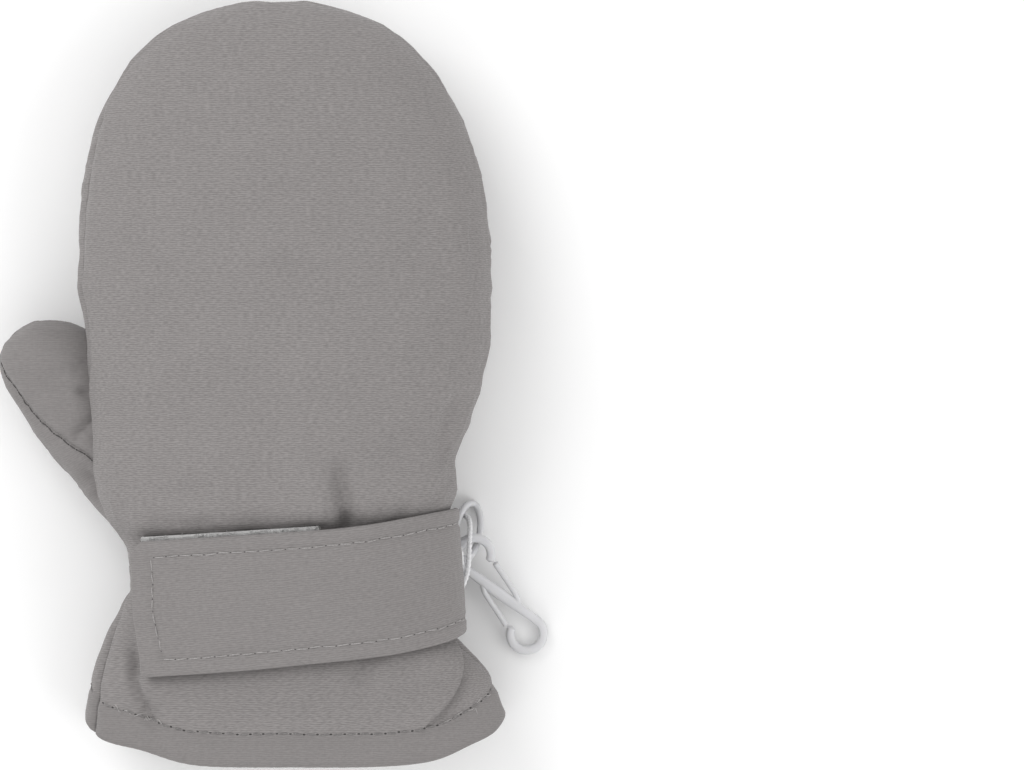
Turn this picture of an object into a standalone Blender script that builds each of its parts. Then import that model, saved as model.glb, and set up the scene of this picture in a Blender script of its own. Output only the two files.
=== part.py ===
"""A child's ski mitten for the right hand, lying palm down.

Frame: +Y runs from the cuff to the fingertips, +X to the little finger's side, +Z up out of the back of the
hand. The origin is under the middle of the mitten, on the surface that it lies on. Sizes are in millimetres,
and mesh_object() turns them into Blender's metres.

The hand is layered: an outer shell, wadding and a pile lining, each as a back and a palm half that meet at a
seam round the edge. The thumb has the same layers. A strap closes over the wrist with hook and loop tape, and a
cord loop in the side seam carries a ring and a double-ended snap hook.
"""

import math

import bmesh
import bpy
from mathutils import Matrix, Vector

MM = 0.001
GAP = 0.3

# The hand, as seen from above: its edges are (y, x) pairs from the hem to the widest place, and a rounded
# superellipse from there to the fingertip.
HEM_Y = -70.4
WIDE_Y = 21.0
TIP_X, TIP_Y = 7.9, 82.6
LEFT_EDGE = [(-70.4, -36.6), (-62, -34.7), (-55, -32.0), (-48, -28.8), (-42, -26.6), (-37, -27.0),
             (-28.4, -31.5), (-20.8, -33.8), (-8, -35.0), (8, -35.8), (21, -37.6)]
RIGHT_EDGE = [(-70.4, 54.4), (-62, 50.6), (-57, 46.2), (-53, 42.6), (-48, 41.6), (-34, 41.5), (-28, 42.2),
              (-22, 44.0), (-17, 43.8), (-8, 46.8), (0, 49.3), (10, 51.0), (21, 51.5)]
LEFT_ROUND, RIGHT_ROUND = 2.7, 2.25
# Heights along the hand: the side seam's height, and how far the back rises above it.
SEAM_Z = [(-70.4, 12.0), (-45, 15.5), (-20, 16.5), (21, 17.0)]
BACK_RISE = [(-70.4, 16.0), (-50, 14.2), (-36, 14.5), (-20, 17.5), (0, 19.3), (21, 20.0)]
WRIST_LIFT = [(-70.4, 0.0), (-55, 0.0), (-40, 1.6), (-25, 0.0), (21, 0.0)]
SEAM_DROP_AT_TIP = 2.0
FLATTENED = 1.3  # how far the palm's round shape would reach below the table, where it is pressed flat
TIP_FULLNESS = 2.5
BACK_ROUND, PALM_ROUND = 2.5, 2.6
HEM_BOW = 12.2  # the hem's middle hangs this much lower than its corners
BOW_FROM_Y = -44.0

# Layers of the hand, as depths under the outer surface.
SHELL = (0.0, 0.8)
WADDING = (1.1, 3.3)
LINING = (3.6, 7.4)
ELASTIC = (1.2, 2.6)
HEM_BAND = (1.1, 3.3)
SEAM_HALF_GAP = 0.2
WADDING_FROM_Y = -27.0
ELASTIC_Y = (-46.0, -30.0)
HEM_BAND_TOP_Y = -61.5
LINING_FROM_Y = -61.0

# The thumb lies along its own axis, from its root under the hand's edge to its tip.
THUMB_ROOT = Vector((-26.7, -28.6, 10.2))
THUMB_AXIS = Vector((-0.454, 0.891, 0.0)).normalized()
THUMB_ACROSS = Vector((0.891, 0.454, 0.0)).normalized()
THUMB_WIDE, THUMB_END = 35.0, 47.4
THUMB_LEFT = [(0, 4.5), (10, 6.3), (20, 8.6), (30, 10.7), (35, 11.6)]
THUMB_RIGHT = [(0, 6.0), (10, 9.0), (20, 11.0), (35, 11.4)]
THUMB_HALF_HEIGHT = 9.9
THUMB_ROUND = 2.2
THUMB_SHELL = (0.0, 0.8)
THUMB_WADDING = (1.3, 2.3)
THUMB_LINING = (2.6, 5.1)
THUMB_SEAM_DEG = (112.0, 178.0)  # where the upper panel ends: over the top at the root, at the edge by the tip
THUMB_SEAM_GAP_DEG = 2.0
PASSAGE_CENTRE = Vector((-28.0, -14.5, 10.0))
PASSAGE_HALF = Vector((9.0, 8.5, 4.6))
THUMB_PIVOT = Vector((-30.9, -31.5, 10.0))

# The strap: its edges seen from above, and the wrist's round shape that it bends over.
STRAP_TOP = [(-25.5, -33.6), (0, -31.9), (15, -30.9), (25, -29.9), (46.5, -26.4)]
STRAP_BOTTOM = [(-25.5, -62.8), (0, -60.9), (12, -59.7), (29, -57.9), (42, -55.2), (46.5, -53.4)]
STRAP_END_X = (-25.5, -22.8)
STRAP_CENTRE_X, STRAP_HALF_WIDTH, STRAP_BASE_Z, STRAP_RISE = 6.9, 34.6, 15.5, 15.7
STRAP_TOP_PLY = (3.7, 4.5)
STRAP_BACKING = (2.7, 3.4)
HOOK_TAPE = (1.5, 2.4)
HOOK_TAPE_SPAN, HOOK_TAPE_INSET = (-23.0, 6.0), 0.1
LOOP_TAPE = (-0.85, -1.45)
LOOP_TAPE_X, LOOP_TAPE_Y = (-23.9, 14.8), (-54.0, -32.6)
LOOP_TAPE_TILT = 0.065  # it lies along the strap's upper edge, which climbs to the right

# The double-ended snap hook, in its own plane: u runs along it and v across it. The halves match when it is
# turned half round.
CLIP_CENTRE = Vector((53.4, -45.6, 4.2))
CLIP_HEADING, CLIP_TILT = math.radians(-56.7), math.radians(11.5)
CLIP_EYE_U, CLIP_EYE_RADIUS = 10.65, 3.66
CLIP_NOSE_DEG, CLIP_SPINE_DEG = -145.0, 110.0
CLIP_WIDTH, CLIP_SPINE_WIDTH, CLIP_THICKNESS = 2.0, 2.7, 2.0
CLIP_BEVEL = 0.45
GATE_U, GATE_V, GATE_WIDTH, GATE_THICKNESS = (-2.2, 6.45), -2.75, 1.2, 1.6

# The oval ring leans up towards the wrist, so that one side passes under the snap hook's eye and one over it.
RING_CENTRE = Vector((46.3, -31.8, 5.15))
RING_ACROSS = Vector((2.57, -0.36, -2.0))
RING_ALONG = Vector((0.84, 5.94, -3.75))
RING_WIRE = 1.5
RING_STEPS = 24

# Both ends are sewn into the side seam under the strap, and the loop passes round one side of the ring.
CORD_WIRE = 1.2
CORD_ROUTE = [(42.7, -46.4, 14.9), (44.7, -44.4, 13.2), (46.0, -41.4, 11.6), (46.5, -38.0, 10.8),
              (46.6, -35.0, 10.2), (46.7, -32.2, 8.9), (46.7, -30.2, 6.6), (46.2, -28.9, 4.1),
              (44.9, -28.2, 2.4), (43.1, -28.3, 3.4), (42.2, -29.8, 6.2), (42.5, -31.7, 9.0),
              (44.0, -34.2, 10.9), (44.9, -37.2, 11.4), (44.6, -40.2, 12.4), (43.7, -42.2, 13.7),
              (42.7, -43.6, 15.0)]
CORD_STEPS = 4  # points for each stretch of the route

ROW_STEP = 8.2
HALF_COLUMNS = 10
THUMB_COLUMNS = 20
DOME_ROWS = 7


# Curves and outlines ---------------------------------------------------------------------------------------

def smooth(pairs, at):
    """The value at a place along (place, value) pairs, on a curve that never overshoots them."""
    places = [p[0] for p in pairs]
    values = [p[1] for p in pairs]
    at = min(max(at, places[0]), places[-1])
    steps = [b - a for a, b in zip(places, places[1:])]
    rises = [(b - a) / step for a, b, step in zip(values, values[1:], steps)]
    slopes = [rises[0]]
    for before, after in zip(rises, rises[1:]):
        slopes.append(0.0 if before * after <= 0 else 2 * before * after / (before + after))
    slopes.append(rises[-1])
    i = next(k for k in range(len(steps)) if at <= places[k + 1])
    t = (at - places[i]) / steps[i]
    return ((2 * t ** 3 - 3 * t ** 2 + 1) * values[i] + (t ** 3 - 2 * t ** 2 + t) * steps[i] * slopes[i]
            + (3 * t ** 2 - 2 * t ** 3) * values[i + 1] + (t ** 3 - t ** 2) * steps[i] * slopes[i + 1])


def rounded(share, power):
    """How wide a superellipse still is, from 1 to 0, at this share of the way to its end."""
    return max(0.0, 1 - min(abs(share), 1) ** power) ** (1 / power)


def turned(angle, power):
    """A superellipse's point at this angle, as (across, up), each from -1 to 1."""
    c, s = math.cos(angle), math.sin(angle)
    return (math.copysign(abs(c) ** (2 / power), c), math.copysign(abs(s) ** (2 / power), s))


def hand_point(y, angle, depth, lift=0.0):
    """A point of the hand at this depth under its surface. Angle 0 is the seam on the little finger's side."""
    beyond = (y - WIDE_Y) / (TIP_Y - WIDE_Y - depth) if y > WIDE_Y else 0.0
    left = TIP_X + (smooth(LEFT_EDGE, y) + depth - TIP_X) * rounded(beyond, LEFT_ROUND)
    right = TIP_X + (smooth(RIGHT_EDGE, y) - depth - TIP_X) * rounded(beyond, RIGHT_ROUND)
    seam_z = smooth(SEAM_Z, y) - SEAM_DROP_AT_TIP * max(beyond, 0.0) ** 2
    on_back = math.sin(angle) >= 0
    across, up = turned(angle, BACK_ROUND if on_back else PALM_ROUND)
    if on_back:
        height = smooth(BACK_RISE, y)
    else:
        height = seam_z + FLATTENED - smooth(WRIST_LIFT, y)
    height = (height - depth) * rounded(beyond, TIP_FULLNESS)
    bow = HEM_BOW * max(0.0, (BOW_FROM_Y - y) / (BOW_FROM_Y - HEM_Y)) ** 1.5
    return Vector(((left + right) / 2 + (right - left) / 2 * across,
                   y - bow * math.sqrt(max(0.0, 1 - across ** 4)),
                   max(seam_z + height * up + lift, depth)))


def hand_rows(first_y, last_y, depth):
    """The stations of a layer along the hand, up to the fingertip where last_y is None."""
    end = WIDE_Y if last_y is None else last_y
    count = max(1, round((end - first_y) / ROW_STEP))
    rows = [first_y + (end - first_y) * i / count for i in range(count + 1)]
    if last_y is None:
        reach = TIP_Y - WIDE_Y - depth
        rows += [WIDE_Y + reach * math.sin(math.pi / 2 * (i + 1) / DOME_ROWS) for i in range(DOME_ROWS)]
    return rows


def hand_half(depth, first_y, last_y, back):
    """The grid of points of the back or the palm half of one depth, ending in a single point at the tip."""
    start, lift = (0.0, SEAM_HALF_GAP) if back else (math.pi, -SEAM_HALF_GAP)
    angles = [start + math.pi * i / HALF_COLUMNS for i in range(HALF_COLUMNS + 1)]
    grid = [[hand_point(y, a, depth, lift) for a in angles] for y in hand_rows(first_y, last_y, depth)]
    return closed_at_tip(grid, last_y is None)


def hand_round(depth, first_y, last_y):
    """The grid of whole rings of one depth."""
    angles = [math.tau * i / (2 * HALF_COLUMNS) for i in range(2 * HALF_COLUMNS)]
    grid = [[hand_point(y, a, depth) for a in angles] for y in hand_rows(first_y, last_y, depth)]
    return closed_at_tip(grid, last_y is None)


def closed_at_tip(grid, has_tip):
    return grid[:-1] + [[grid[-1][0]]] if has_tip else grid


def thumb_point(along, angle, depth):
    """A point of the thumb at this depth. Angle 0 is its side under the hand, and 90 degrees its top."""
    reach = THUMB_END - THUMB_WIDE - depth
    beyond = (along - THUMB_WIDE) / reach if along > THUMB_WIDE else 0.0
    across, up = turned(angle, THUMB_ROUND)
    width = smooth(THUMB_RIGHT if across >= 0 else THUMB_LEFT, along) - depth
    taper = rounded(beyond, THUMB_ROUND)
    return (THUMB_ROOT + THUMB_AXIS * along + THUMB_ACROSS * width * taper * across
            + Vector((0, 0, (THUMB_HALF_HEIGHT - depth) * taper * up)))


def thumb_rows(depth):
    reach = THUMB_END - THUMB_WIDE - depth
    straight = [THUMB_WIDE * i / 5 for i in range(6)]
    return straight + [THUMB_WIDE + reach * math.sin(math.pi / 2 * (i + 1) / 4) for i in range(4)]


def thumb_panel(depth, upper):
    """The grid of the thumb's upper panel, or of the palm panel that makes the rest of its girth."""
    grid = []
    for along in thumb_rows(depth):
        share = along / THUMB_END
        seam = THUMB_SEAM_DEG[0] + (THUMB_SEAM_DEG[1] - THUMB_SEAM_DEG[0]) * share
        gap = THUMB_SEAM_GAP_DEG
        first, last = (gap, seam - gap) if upper else (seam + gap, 360.0 - gap)
        count = THUMB_COLUMNS // 2
        angles = [math.radians(first + (last - first) * i / count) for i in range(count + 1)]
        grid.append([thumb_point(along, a, depth) for a in angles])
    tip = THUMB_ROOT + THUMB_AXIS * (THUMB_END - depth)
    return grid[:-1] + [[tip + Vector((0, 0, SEAM_HALF_GAP if upper else -SEAM_HALF_GAP))]]


def thumb_round(depth):
    angles = [math.tau * i / THUMB_COLUMNS for i in range(THUMB_COLUMNS)]
    grid = [[thumb_point(along, a, depth) for a in angles] for along in thumb_rows(depth)]
    return grid[:-1] + [[grid[-1][0]]]


def strap_point(x_share, width_share, lift, x_span=None, inset=0.0):
    """A point of a strap layer: x_share runs from the sewn end to the free end, width_share from top to bottom."""
    half, rise = STRAP_HALF_WIDTH + lift, STRAP_RISE + lift
    if x_span is None:
        end_x = STRAP_END_X[0] + (STRAP_END_X[1] - STRAP_END_X[0]) * width_share
        start_angle = 0.0
    else:
        end_x = x_span[0]
        start_angle = strap_angle(x_span[1], half)
    angle = start_angle + (strap_angle(end_x, half) - start_angle) * x_share
    across, up = turned(angle, BACK_ROUND)
    x = STRAP_CENTRE_X + half * across
    share = inset + (1 - 2 * inset) * width_share
    top, bottom = smooth(STRAP_TOP, x), smooth(STRAP_BOTTOM, x)
    return Vector((x, top + (bottom - top) * share, STRAP_BASE_Z + rise * up))


def strap_angle(x, half):
    across = (x - STRAP_CENTRE_X) / half
    return math.acos(math.copysign(abs(across) ** (BACK_ROUND / 2), across))


def strap_grid(lift, x_span=None, inset=0.0, columns=14, rows=4):
    return [[strap_point(c / columns, r / rows, lift, x_span, inset) for c in range(columns + 1)]
            for r in range(rows + 1)]


def loop_tape_grid(depth, columns=8):
    """The loop tape lies on the back of the wrist, so its points are the hand's, set outwards."""
    grid = []
    for row in range(5):
        base_y = LOOP_TAPE_Y[0] + (LOOP_TAPE_Y[1] - LOOP_TAPE_Y[0]) * row / 4
        points = []
        for c in range(columns + 1):
            x = LOOP_TAPE_X[1] + (LOOP_TAPE_X[0] - LOOP_TAPE_X[1]) * c / columns
            y = base_y + LOOP_TAPE_TILT * (x - LOOP_TAPE_X[0])
            left, right = smooth(LEFT_EDGE, y) + depth, smooth(RIGHT_EDGE, y) - depth
            across = (x - (left + right) / 2) / ((right - left) / 2)
            points.append(hand_point(y, math.acos(math.copysign(abs(across) ** (BACK_ROUND / 2), across)), depth))
        grid.append(points)
    return grid


# Meshes ----------------------------------------------------------------------------------------------------

def material(name, colour, roughness, metallic=0.0):
    made = bpy.data.materials.new(name)
    made.use_nodes = True
    shader = made.node_tree.nodes["Principled BSDF"]
    shader.inputs["Base Color"].default_value = (*colour, 1.0)
    shader.inputs["Roughness"].default_value = roughness
    shader.inputs["Metallic"].default_value = metallic
    return made


def mesh_object(name, points, faces, finish):
    """An object of this mesh, with its points turned from millimetres to metres and its faces pointing out."""
    mesh = bpy.data.meshes.new(name)
    mesh.from_pydata([Vector(p) * MM for p in points], [], faces)
    shape = bmesh.new()
    shape.from_mesh(mesh)
    bmesh.ops.recalc_face_normals(shape, faces=shape.faces)
    shape.to_mesh(mesh)
    shape.free()
    mesh.shade_smooth()
    mesh.set_sharp_from_angle(angle=math.radians(40))
    made = bpy.data.objects.new(name, mesh)
    bpy.context.scene.collection.objects.link(made)
    if finish:
        mesh.materials.append(finish)
    return made


def grid_faces(grid, offset, wraps):
    """Quads over a grid whose last row may be one point, and the rim that goes once round an open grid."""
    starts = [offset]
    for row in grid:
        starts.append(starts[-1] + len(row))
    columns = len(grid[0])
    faces = []
    for r in range(len(grid) - 1):
        for c in range(columns if wraps else columns - 1):
            d = (c + 1) % columns
            low = [starts[r] + c, starts[r] + d]
            tip = len(grid[r + 1]) == 1
            faces.append(low + ([starts[r + 1]] if tip else [starts[r + 1] + d, starts[r + 1] + c]))
    last = len(grid) - 1
    first_row = [starts[0] + c for c in range(columns)]
    last_row = [starts[last] + c for c in range(len(grid[last]))]
    if wraps:
        rims = [first_row] if len(last_row) == 1 else [first_row, last_row]
    else:
        up = [starts[r] + columns - 1 for r in range(1, last)]
        down = [starts[r] for r in range(last - 1, 0, -1)]
        rims = [first_row + up + last_row[::-1] + down]
    return faces, rims


def layer(name, outer, inner, finish, wraps=False):
    """A solid between two matching grids."""
    points = [p for row in outer for p in row]
    offset = len(points)
    faces, rims = grid_faces(outer, 0, wraps)
    inner_faces, inner_rims = grid_faces(inner, offset, wraps)
    faces += inner_faces
    for rim, inner_rim in zip(rims, inner_rims):
        for k in range(len(rim)):
            j = (k + 1) % len(rim)
            faces.append([rim[k], rim[j], inner_rim[j], inner_rim[k]])
    return mesh_object(name, points + [p for row in inner for p in row], faces, finish)


def solid(name, grid, finish=None):
    """A closed solid of whole rings, capped where it doesn't end in a point."""
    faces, rims = grid_faces(grid, 0, True)
    return mesh_object(name, [p for row in grid for p in row], faces + rims, finish)


def cutter(made):
    made.hide_render = True
    made.display_type = "WIRE"
    return made


def cut(made, tool):
    modifier = made.modifiers.new("cut_" + tool.name, "BOOLEAN")
    modifier.operation = "DIFFERENCE"
    modifier.object = tool


# The hand --------------------------------------------------------------------------------------------------

def hand_layers(finishes, passage):
    """The shell, the wadding and the lining, each as a back half and a palm half."""
    for kind, (outer, inner), first_y in (("shell", SHELL, HEM_Y), ("wadding", WADDING, WADDING_FROM_Y),
                                          ("lining", LINING, LINING_FROM_Y)):
        for back in (True, False):
            name = ("back_" if back else "palm_") + kind
            made = layer(name, hand_half(outer, first_y, None, back), hand_half(inner, first_y, None, back),
                         finishes[kind])
            if not back:
                cut(made, passage)


def wrist_elastic(finishes):
    layer("wrist_elastic", hand_round(ELASTIC[0], *ELASTIC_Y), hand_round(ELASTIC[1], *ELASTIC_Y),
          finishes["elastic"], wraps=True)


def cuff_hem(finishes):
    span = (HEM_Y + GAP, HEM_BAND_TOP_Y)
    layer("cuff_hem", hand_round(HEM_BAND[0], *span), hand_round(HEM_BAND[1], *span), finishes["shell"],
          wraps=True)


def thumb_passage():
    """The way from the hand into the thumb: an oval tube along X through the palm's layers."""
    rings = []
    for x in (-1, 1):
        rings.append([PASSAGE_CENTRE + Vector((PASSAGE_HALF.x * x, PASSAGE_HALF.y * math.cos(a),
                                               PASSAGE_HALF.z * math.sin(a)))
                      for a in (math.tau * i / 16 for i in range(16))])
    return cutter(solid("thumb_passage", rings))


# The thumb -------------------------------------------------------------------------------------------------

def thumb_layers(finishes, hand_envelope):
    for name, upper in (("thumb_upper_shell", True), ("thumb_palm_shell", False)):
        grids = [thumb_panel(depth, upper) for depth in THUMB_SHELL]
        cut(layer(name, *grids, finishes["shell"]), hand_envelope)
    for name, depths in (("thumb_wadding", THUMB_WADDING), ("thumb_lining", THUMB_LINING)):
        grids = [thumb_round(depth) for depth in depths]
        cut(layer(name, *grids, finishes[name.split("_")[1]], wraps=True), hand_envelope)


# The strap and its tapes -----------------------------------------------------------------------------------

def strap(finishes):
    layer("strap_top_ply", strap_grid(STRAP_TOP_PLY[1]), strap_grid(STRAP_TOP_PLY[0]), finishes["shell"])
    layer("strap_backing", strap_grid(STRAP_BACKING[1]), strap_grid(STRAP_BACKING[0]), finishes["shell"])
    tape = [strap_grid(lift, HOOK_TAPE_SPAN, HOOK_TAPE_INSET, columns=6) for lift in reversed(HOOK_TAPE)]
    layer("strap_hook_tape", *tape, finishes["hook_tape"])
    layer("wrist_loop_tape", loop_tape_grid(LOOP_TAPE[1]), loop_tape_grid(LOOP_TAPE[0]),
          finishes["loop_tape"])


# The cord, the ring and the snap hook ----------------------------------------------------------------------

def clip_frame():
    """Turns the snap hook's own u, v and thickness into the mitten's frame."""
    along = Vector((math.cos(CLIP_HEADING) * math.cos(CLIP_TILT), math.sin(CLIP_HEADING) * math.cos(CLIP_TILT),
                    -math.sin(CLIP_TILT)))
    across = Vector((-math.sin(CLIP_HEADING), math.cos(CLIP_HEADING), 0.0))
    axes = Matrix((along, across, along.cross(across))).transposed().to_4x4()
    return Matrix.Translation(CLIP_CENTRE) @ axes


def arc(start_deg, end_deg, steps):
    for i in range(steps + 1):
        angle = math.radians(start_deg + (end_deg - start_deg) * i / steps)
        yield CLIP_EYE_U + CLIP_EYE_RADIUS * math.cos(angle), CLIP_EYE_RADIUS * math.sin(angle)


def clip_path():
    """The S that the snap hook follows: a nose, round an eye, along the spine and round the other eye."""
    half = list(arc(CLIP_NOSE_DEG, CLIP_SPINE_DEG, 16))
    spine = [(half[-1][0] * share, half[-1][1] * share) for share in (0.5, 0.0)]
    return half + spine + [(-u, -v) for u, v in reversed(half + spine[:1])]


def ribbon(path, width_at, thickness):
    """A flat bar of this thickness that follows a path in the u, v plane, as points and faces."""
    points, rings = [], []
    for i, (u, v) in enumerate(path):
        before, after = path[max(i - 1, 0)], path[min(i + 1, len(path) - 1)]
        heading = Vector((after[0] - before[0], after[1] - before[1])).normalized()
        side = Vector((-heading.y, heading.x)) * width_at(u, v) / 2
        rings.append(len(points))
        for sideways, up in ((1, 1), (-1, 1), (-1, -1), (1, -1)):
            points.append((u + side.x * sideways, v + side.y * sideways, up * thickness / 2))
    faces = [[0, 1, 2, 3], [rings[-1] + k for k in range(4)]]
    for a, b in zip(rings, rings[1:]):
        faces += [[a + k, a + (k + 1) % 4, b + (k + 1) % 4, b + k] for k in range(4)]
    return points, faces


def spine_width(u, v):
    """The spine is widest in its middle, where the gates grow out of it."""
    return CLIP_WIDTH + (CLIP_SPINE_WIDTH - CLIP_WIDTH) * max(0.0, 1 - abs(u) / 7.0)


def clip_piece(name, path, width_at, thickness, finish):
    points, faces = ribbon(path, width_at, thickness)
    frame = clip_frame()
    made = mesh_object(name, [frame @ Vector(p) for p in points], faces, finish)
    bevel = made.modifiers.new("soft_edges", "BEVEL")
    bevel.width = CLIP_BEVEL * MM
    bevel.segments = 1
    bevel.limit_method = "ANGLE"
    bevel.angle_limit = math.radians(60)
    return made


def snap_hook(finishes):
    clip_piece("snap_hook", clip_path(), spine_width, CLIP_THICKNESS, finishes["clip"])
    for name, sign in (("lower_gate", 1), ("upper_gate", -1)):
        length = GATE_U[1] - GATE_U[0]
        path = [((GATE_U[0] + length * i / 3) * sign, GATE_V * sign) for i in range(4)]
        clip_piece(name, path, lambda u, v: GATE_WIDTH, GATE_THICKNESS, finishes["clip"])


def clip_ring(finishes):
    """An oval ring of round wire."""
    rows = []
    normal = RING_ACROSS.cross(RING_ALONG).normalized()
    for i in range(RING_STEPS):
        angle = math.tau * i / RING_STEPS
        middle = RING_CENTRE + RING_ACROSS * math.cos(angle) + RING_ALONG * math.sin(angle)
        heading = RING_ALONG * math.cos(angle) - RING_ACROSS * math.sin(angle)
        out = heading.cross(normal).normalized()
        rows.append([middle + (out * math.cos(a) + normal * math.sin(a)) * RING_WIRE / 2
                     for a in (math.tau * k / 8 for k in range(8))])
    faces, _ = grid_faces(rows + rows[:1], 0, True)
    count = len(rows) * 8
    mesh_object("clip_ring", [p for row in rows for p in row], [[i % count for i in f] for f in faces],
                finishes["clip"])


def cord_loop(finishes):
    """The braided cord, a tube on a smooth curve through the points of its route."""
    route = [Vector(p) for p in CORD_ROUTE]
    line = []
    for i in range(len(route) - 1):
        before, start = route[max(i - 1, 0)], route[i]
        end, after = route[i + 1], route[min(i + 2, len(route) - 1)]
        for step in range(CORD_STEPS):
            t = step / CORD_STEPS
            line.append(0.5 * (2 * start + (end - before) * t
                               + (2 * before - 5 * start + 4 * end - after) * t ** 2
                               + (3 * start - before - 3 * end + after) * t ** 3))
    line.append(route[-1])
    curve = bpy.data.curves.new("cord_loop", "CURVE")
    curve.dimensions = "3D"
    curve.bevel_depth = CORD_WIRE / 2 * MM
    curve.bevel_resolution = 2
    curve.use_fill_caps = True
    spline = curve.splines.new("POLY")
    spline.points.add(len(line) - 1)
    for point, place in zip(spline.points, line):
        point.co = (*(place * MM), 1.0)
    curve.materials.append(finishes["cord"])
    bpy.context.scene.collection.objects.link(bpy.data.objects.new("cord_loop", curve))


def main():
    for old in list(bpy.data.objects):
        bpy.data.objects.remove(old)
    finishes = {
        "shell": material("shell_fabric", (0.29, 0.27, 0.265), 0.8),
        "wadding": material("wadding", (0.8, 0.8, 0.78), 0.95),
        "lining": material("pile_lining", (0.9, 0.87, 0.84), 1.0),
        "elastic": material("elastic", (0.75, 0.75, 0.75), 0.8),
        "hook_tape": material("hook_tape", (0.45, 0.45, 0.45), 0.6),
        "loop_tape": material("loop_tape", (0.62, 0.62, 0.61), 0.95),
        "cord": material("braided_cord", (0.85, 0.85, 0.85), 0.8),
        "clip": material("clip_plastic", (0.75, 0.75, 0.77), 0.35),
    }
    passage = thumb_passage()
    hand_layers(finishes, passage)
    wrist_elastic(finishes)
    cuff_hem(finishes)
    envelope = cutter(solid("hand_envelope", hand_round(-2 * GAP, HEM_Y, None)))
    thumb_layers(finishes, envelope)
    strap(finishes)
    cord_loop(finishes)
    clip_ring(finishes)
    snap_hook(finishes)


main()
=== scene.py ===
"""A child's ski mitten for the right hand, lying palm down on a pale surface."""
import math
import random

import bpy
import numpy as np
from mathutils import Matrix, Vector
from mathutils import noise as mnoise


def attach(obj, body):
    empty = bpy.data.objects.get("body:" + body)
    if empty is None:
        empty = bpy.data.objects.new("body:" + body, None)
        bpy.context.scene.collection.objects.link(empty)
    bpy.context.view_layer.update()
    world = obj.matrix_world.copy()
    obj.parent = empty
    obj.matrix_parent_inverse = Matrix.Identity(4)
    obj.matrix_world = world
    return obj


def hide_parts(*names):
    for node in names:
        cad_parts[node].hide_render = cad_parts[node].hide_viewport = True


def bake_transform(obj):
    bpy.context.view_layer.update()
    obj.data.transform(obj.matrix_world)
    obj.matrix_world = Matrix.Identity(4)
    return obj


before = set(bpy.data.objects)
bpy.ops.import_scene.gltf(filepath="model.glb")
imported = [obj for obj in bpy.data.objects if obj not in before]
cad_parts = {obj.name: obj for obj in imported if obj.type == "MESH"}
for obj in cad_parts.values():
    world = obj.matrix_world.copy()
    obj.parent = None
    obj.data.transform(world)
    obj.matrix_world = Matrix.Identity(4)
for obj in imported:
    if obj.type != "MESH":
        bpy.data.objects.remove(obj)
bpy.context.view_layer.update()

MM = 0.001

# ---------------------------------------------------------------------------------------------------------
# The mitten's form, in millimetres. These repeat the profiles that the CAD model is made from.
# ---------------------------------------------------------------------------------------------------------
HEM_Y, WIDE_Y, TIP_X, TIP_Y = -70.4, 21.0, 7.9, 82.6
LEFT_EDGE = [(-70.4, -36.6), (-62, -34.7), (-55, -32.0), (-48, -28.8), (-42, -26.6), (-37, -27.0),
             (-28.4, -31.5), (-20.8, -33.8), (-8, -35.0), (8, -35.8), (21, -37.6)]
RIGHT_EDGE = [(-70.4, 54.4), (-62, 50.6), (-57, 46.2), (-53, 42.6), (-48, 41.6), (-34, 41.5), (-28, 42.2),
              (-22, 44.0), (-17, 43.8), (-8, 46.8), (0, 49.3), (10, 51.0), (21, 51.5)]
LEFT_ROUND, RIGHT_ROUND = 2.7, 2.25
SEAM_Z = [(-70.4, 12.0), (-45, 15.5), (-20, 16.5), (21, 17.0)]
BACK_RISE = [(-70.4, 16.0), (-50, 14.2), (-36, 14.5), (-20, 17.5), (0, 19.3), (21, 20.0)]
WRIST_LIFT = [(-70.4, 0.0), (-55, 0.0), (-40, 1.6), (-25, 0.0), (21, 0.0)]
SEAM_DROP_AT_TIP, FLATTENED, TIP_FULLNESS = 2.0, 1.3, 2.5
BACK_ROUND, PALM_ROUND = 2.5, 2.6
HEM_BOW, BOW_FROM_Y = 12.2, -44.0
HEM_TRIM, HEM_CORNERS = 0.9, [(-25.5, 2.25, 8.5), (48.5, 1.9, 6.0)]  # the hem's bow is a little flatter there

THUMB_ROOT = np.array((-26.7, -28.6, 10.2))
THUMB_AXIS = np.array((-0.454, 0.891, 0.0))
THUMB_ACROSS = np.array((0.891, 0.454, 0.0))
THUMB_WIDE, THUMB_END = 35.0, 47.5
THUMB_LEFT = [(-9, 0.6), (0, 4.6), (10, 7.1), (20, 9.6), (29, 11.0), (37, 11.6)]
THUMB_RIGHT = [(-9, 3.0), (0, 6.0), (10, 9.0), (20, 11.0), (35, 11.9)]
THUMB_HALF_HEIGHT = [(-9, 3.5), (0, 8.0), (9, 9.9)]
THUMB_ROUND, THUMB_TIP_ROUND = 2.2, (1.6, 3.1)  # the tip slopes off on its right

WADDING_FROM_Y, HEM_BAND_TOP_Y, LINING_FROM_Y = -27.0, -61.5, -61.0
LOOP_TAPE_X, LOOP_TAPE_Y, LOOP_TAPE_TILT = (-23.9, 14.8), (-54.0, -32.6), 0.065

STRAP_TOP = [(-25.5, -33.6), (0, -31.9), (15, -30.9), (25, -29.9), (46.5, -26.4)]
STRAP_BOTTOM = [(-25.5, -62.8), (0, -60.9), (12, -59.7), (29, -57.9), (42, -55.2), (46.5, -53.4)]
STRAP_END_X = (-26.4, -23.8)
STRAP_CENTRE_X, STRAP_HALF_WIDTH, STRAP_BASE_Z, STRAP_RISE = 6.9, 34.6, 15.5, 15.7

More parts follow.
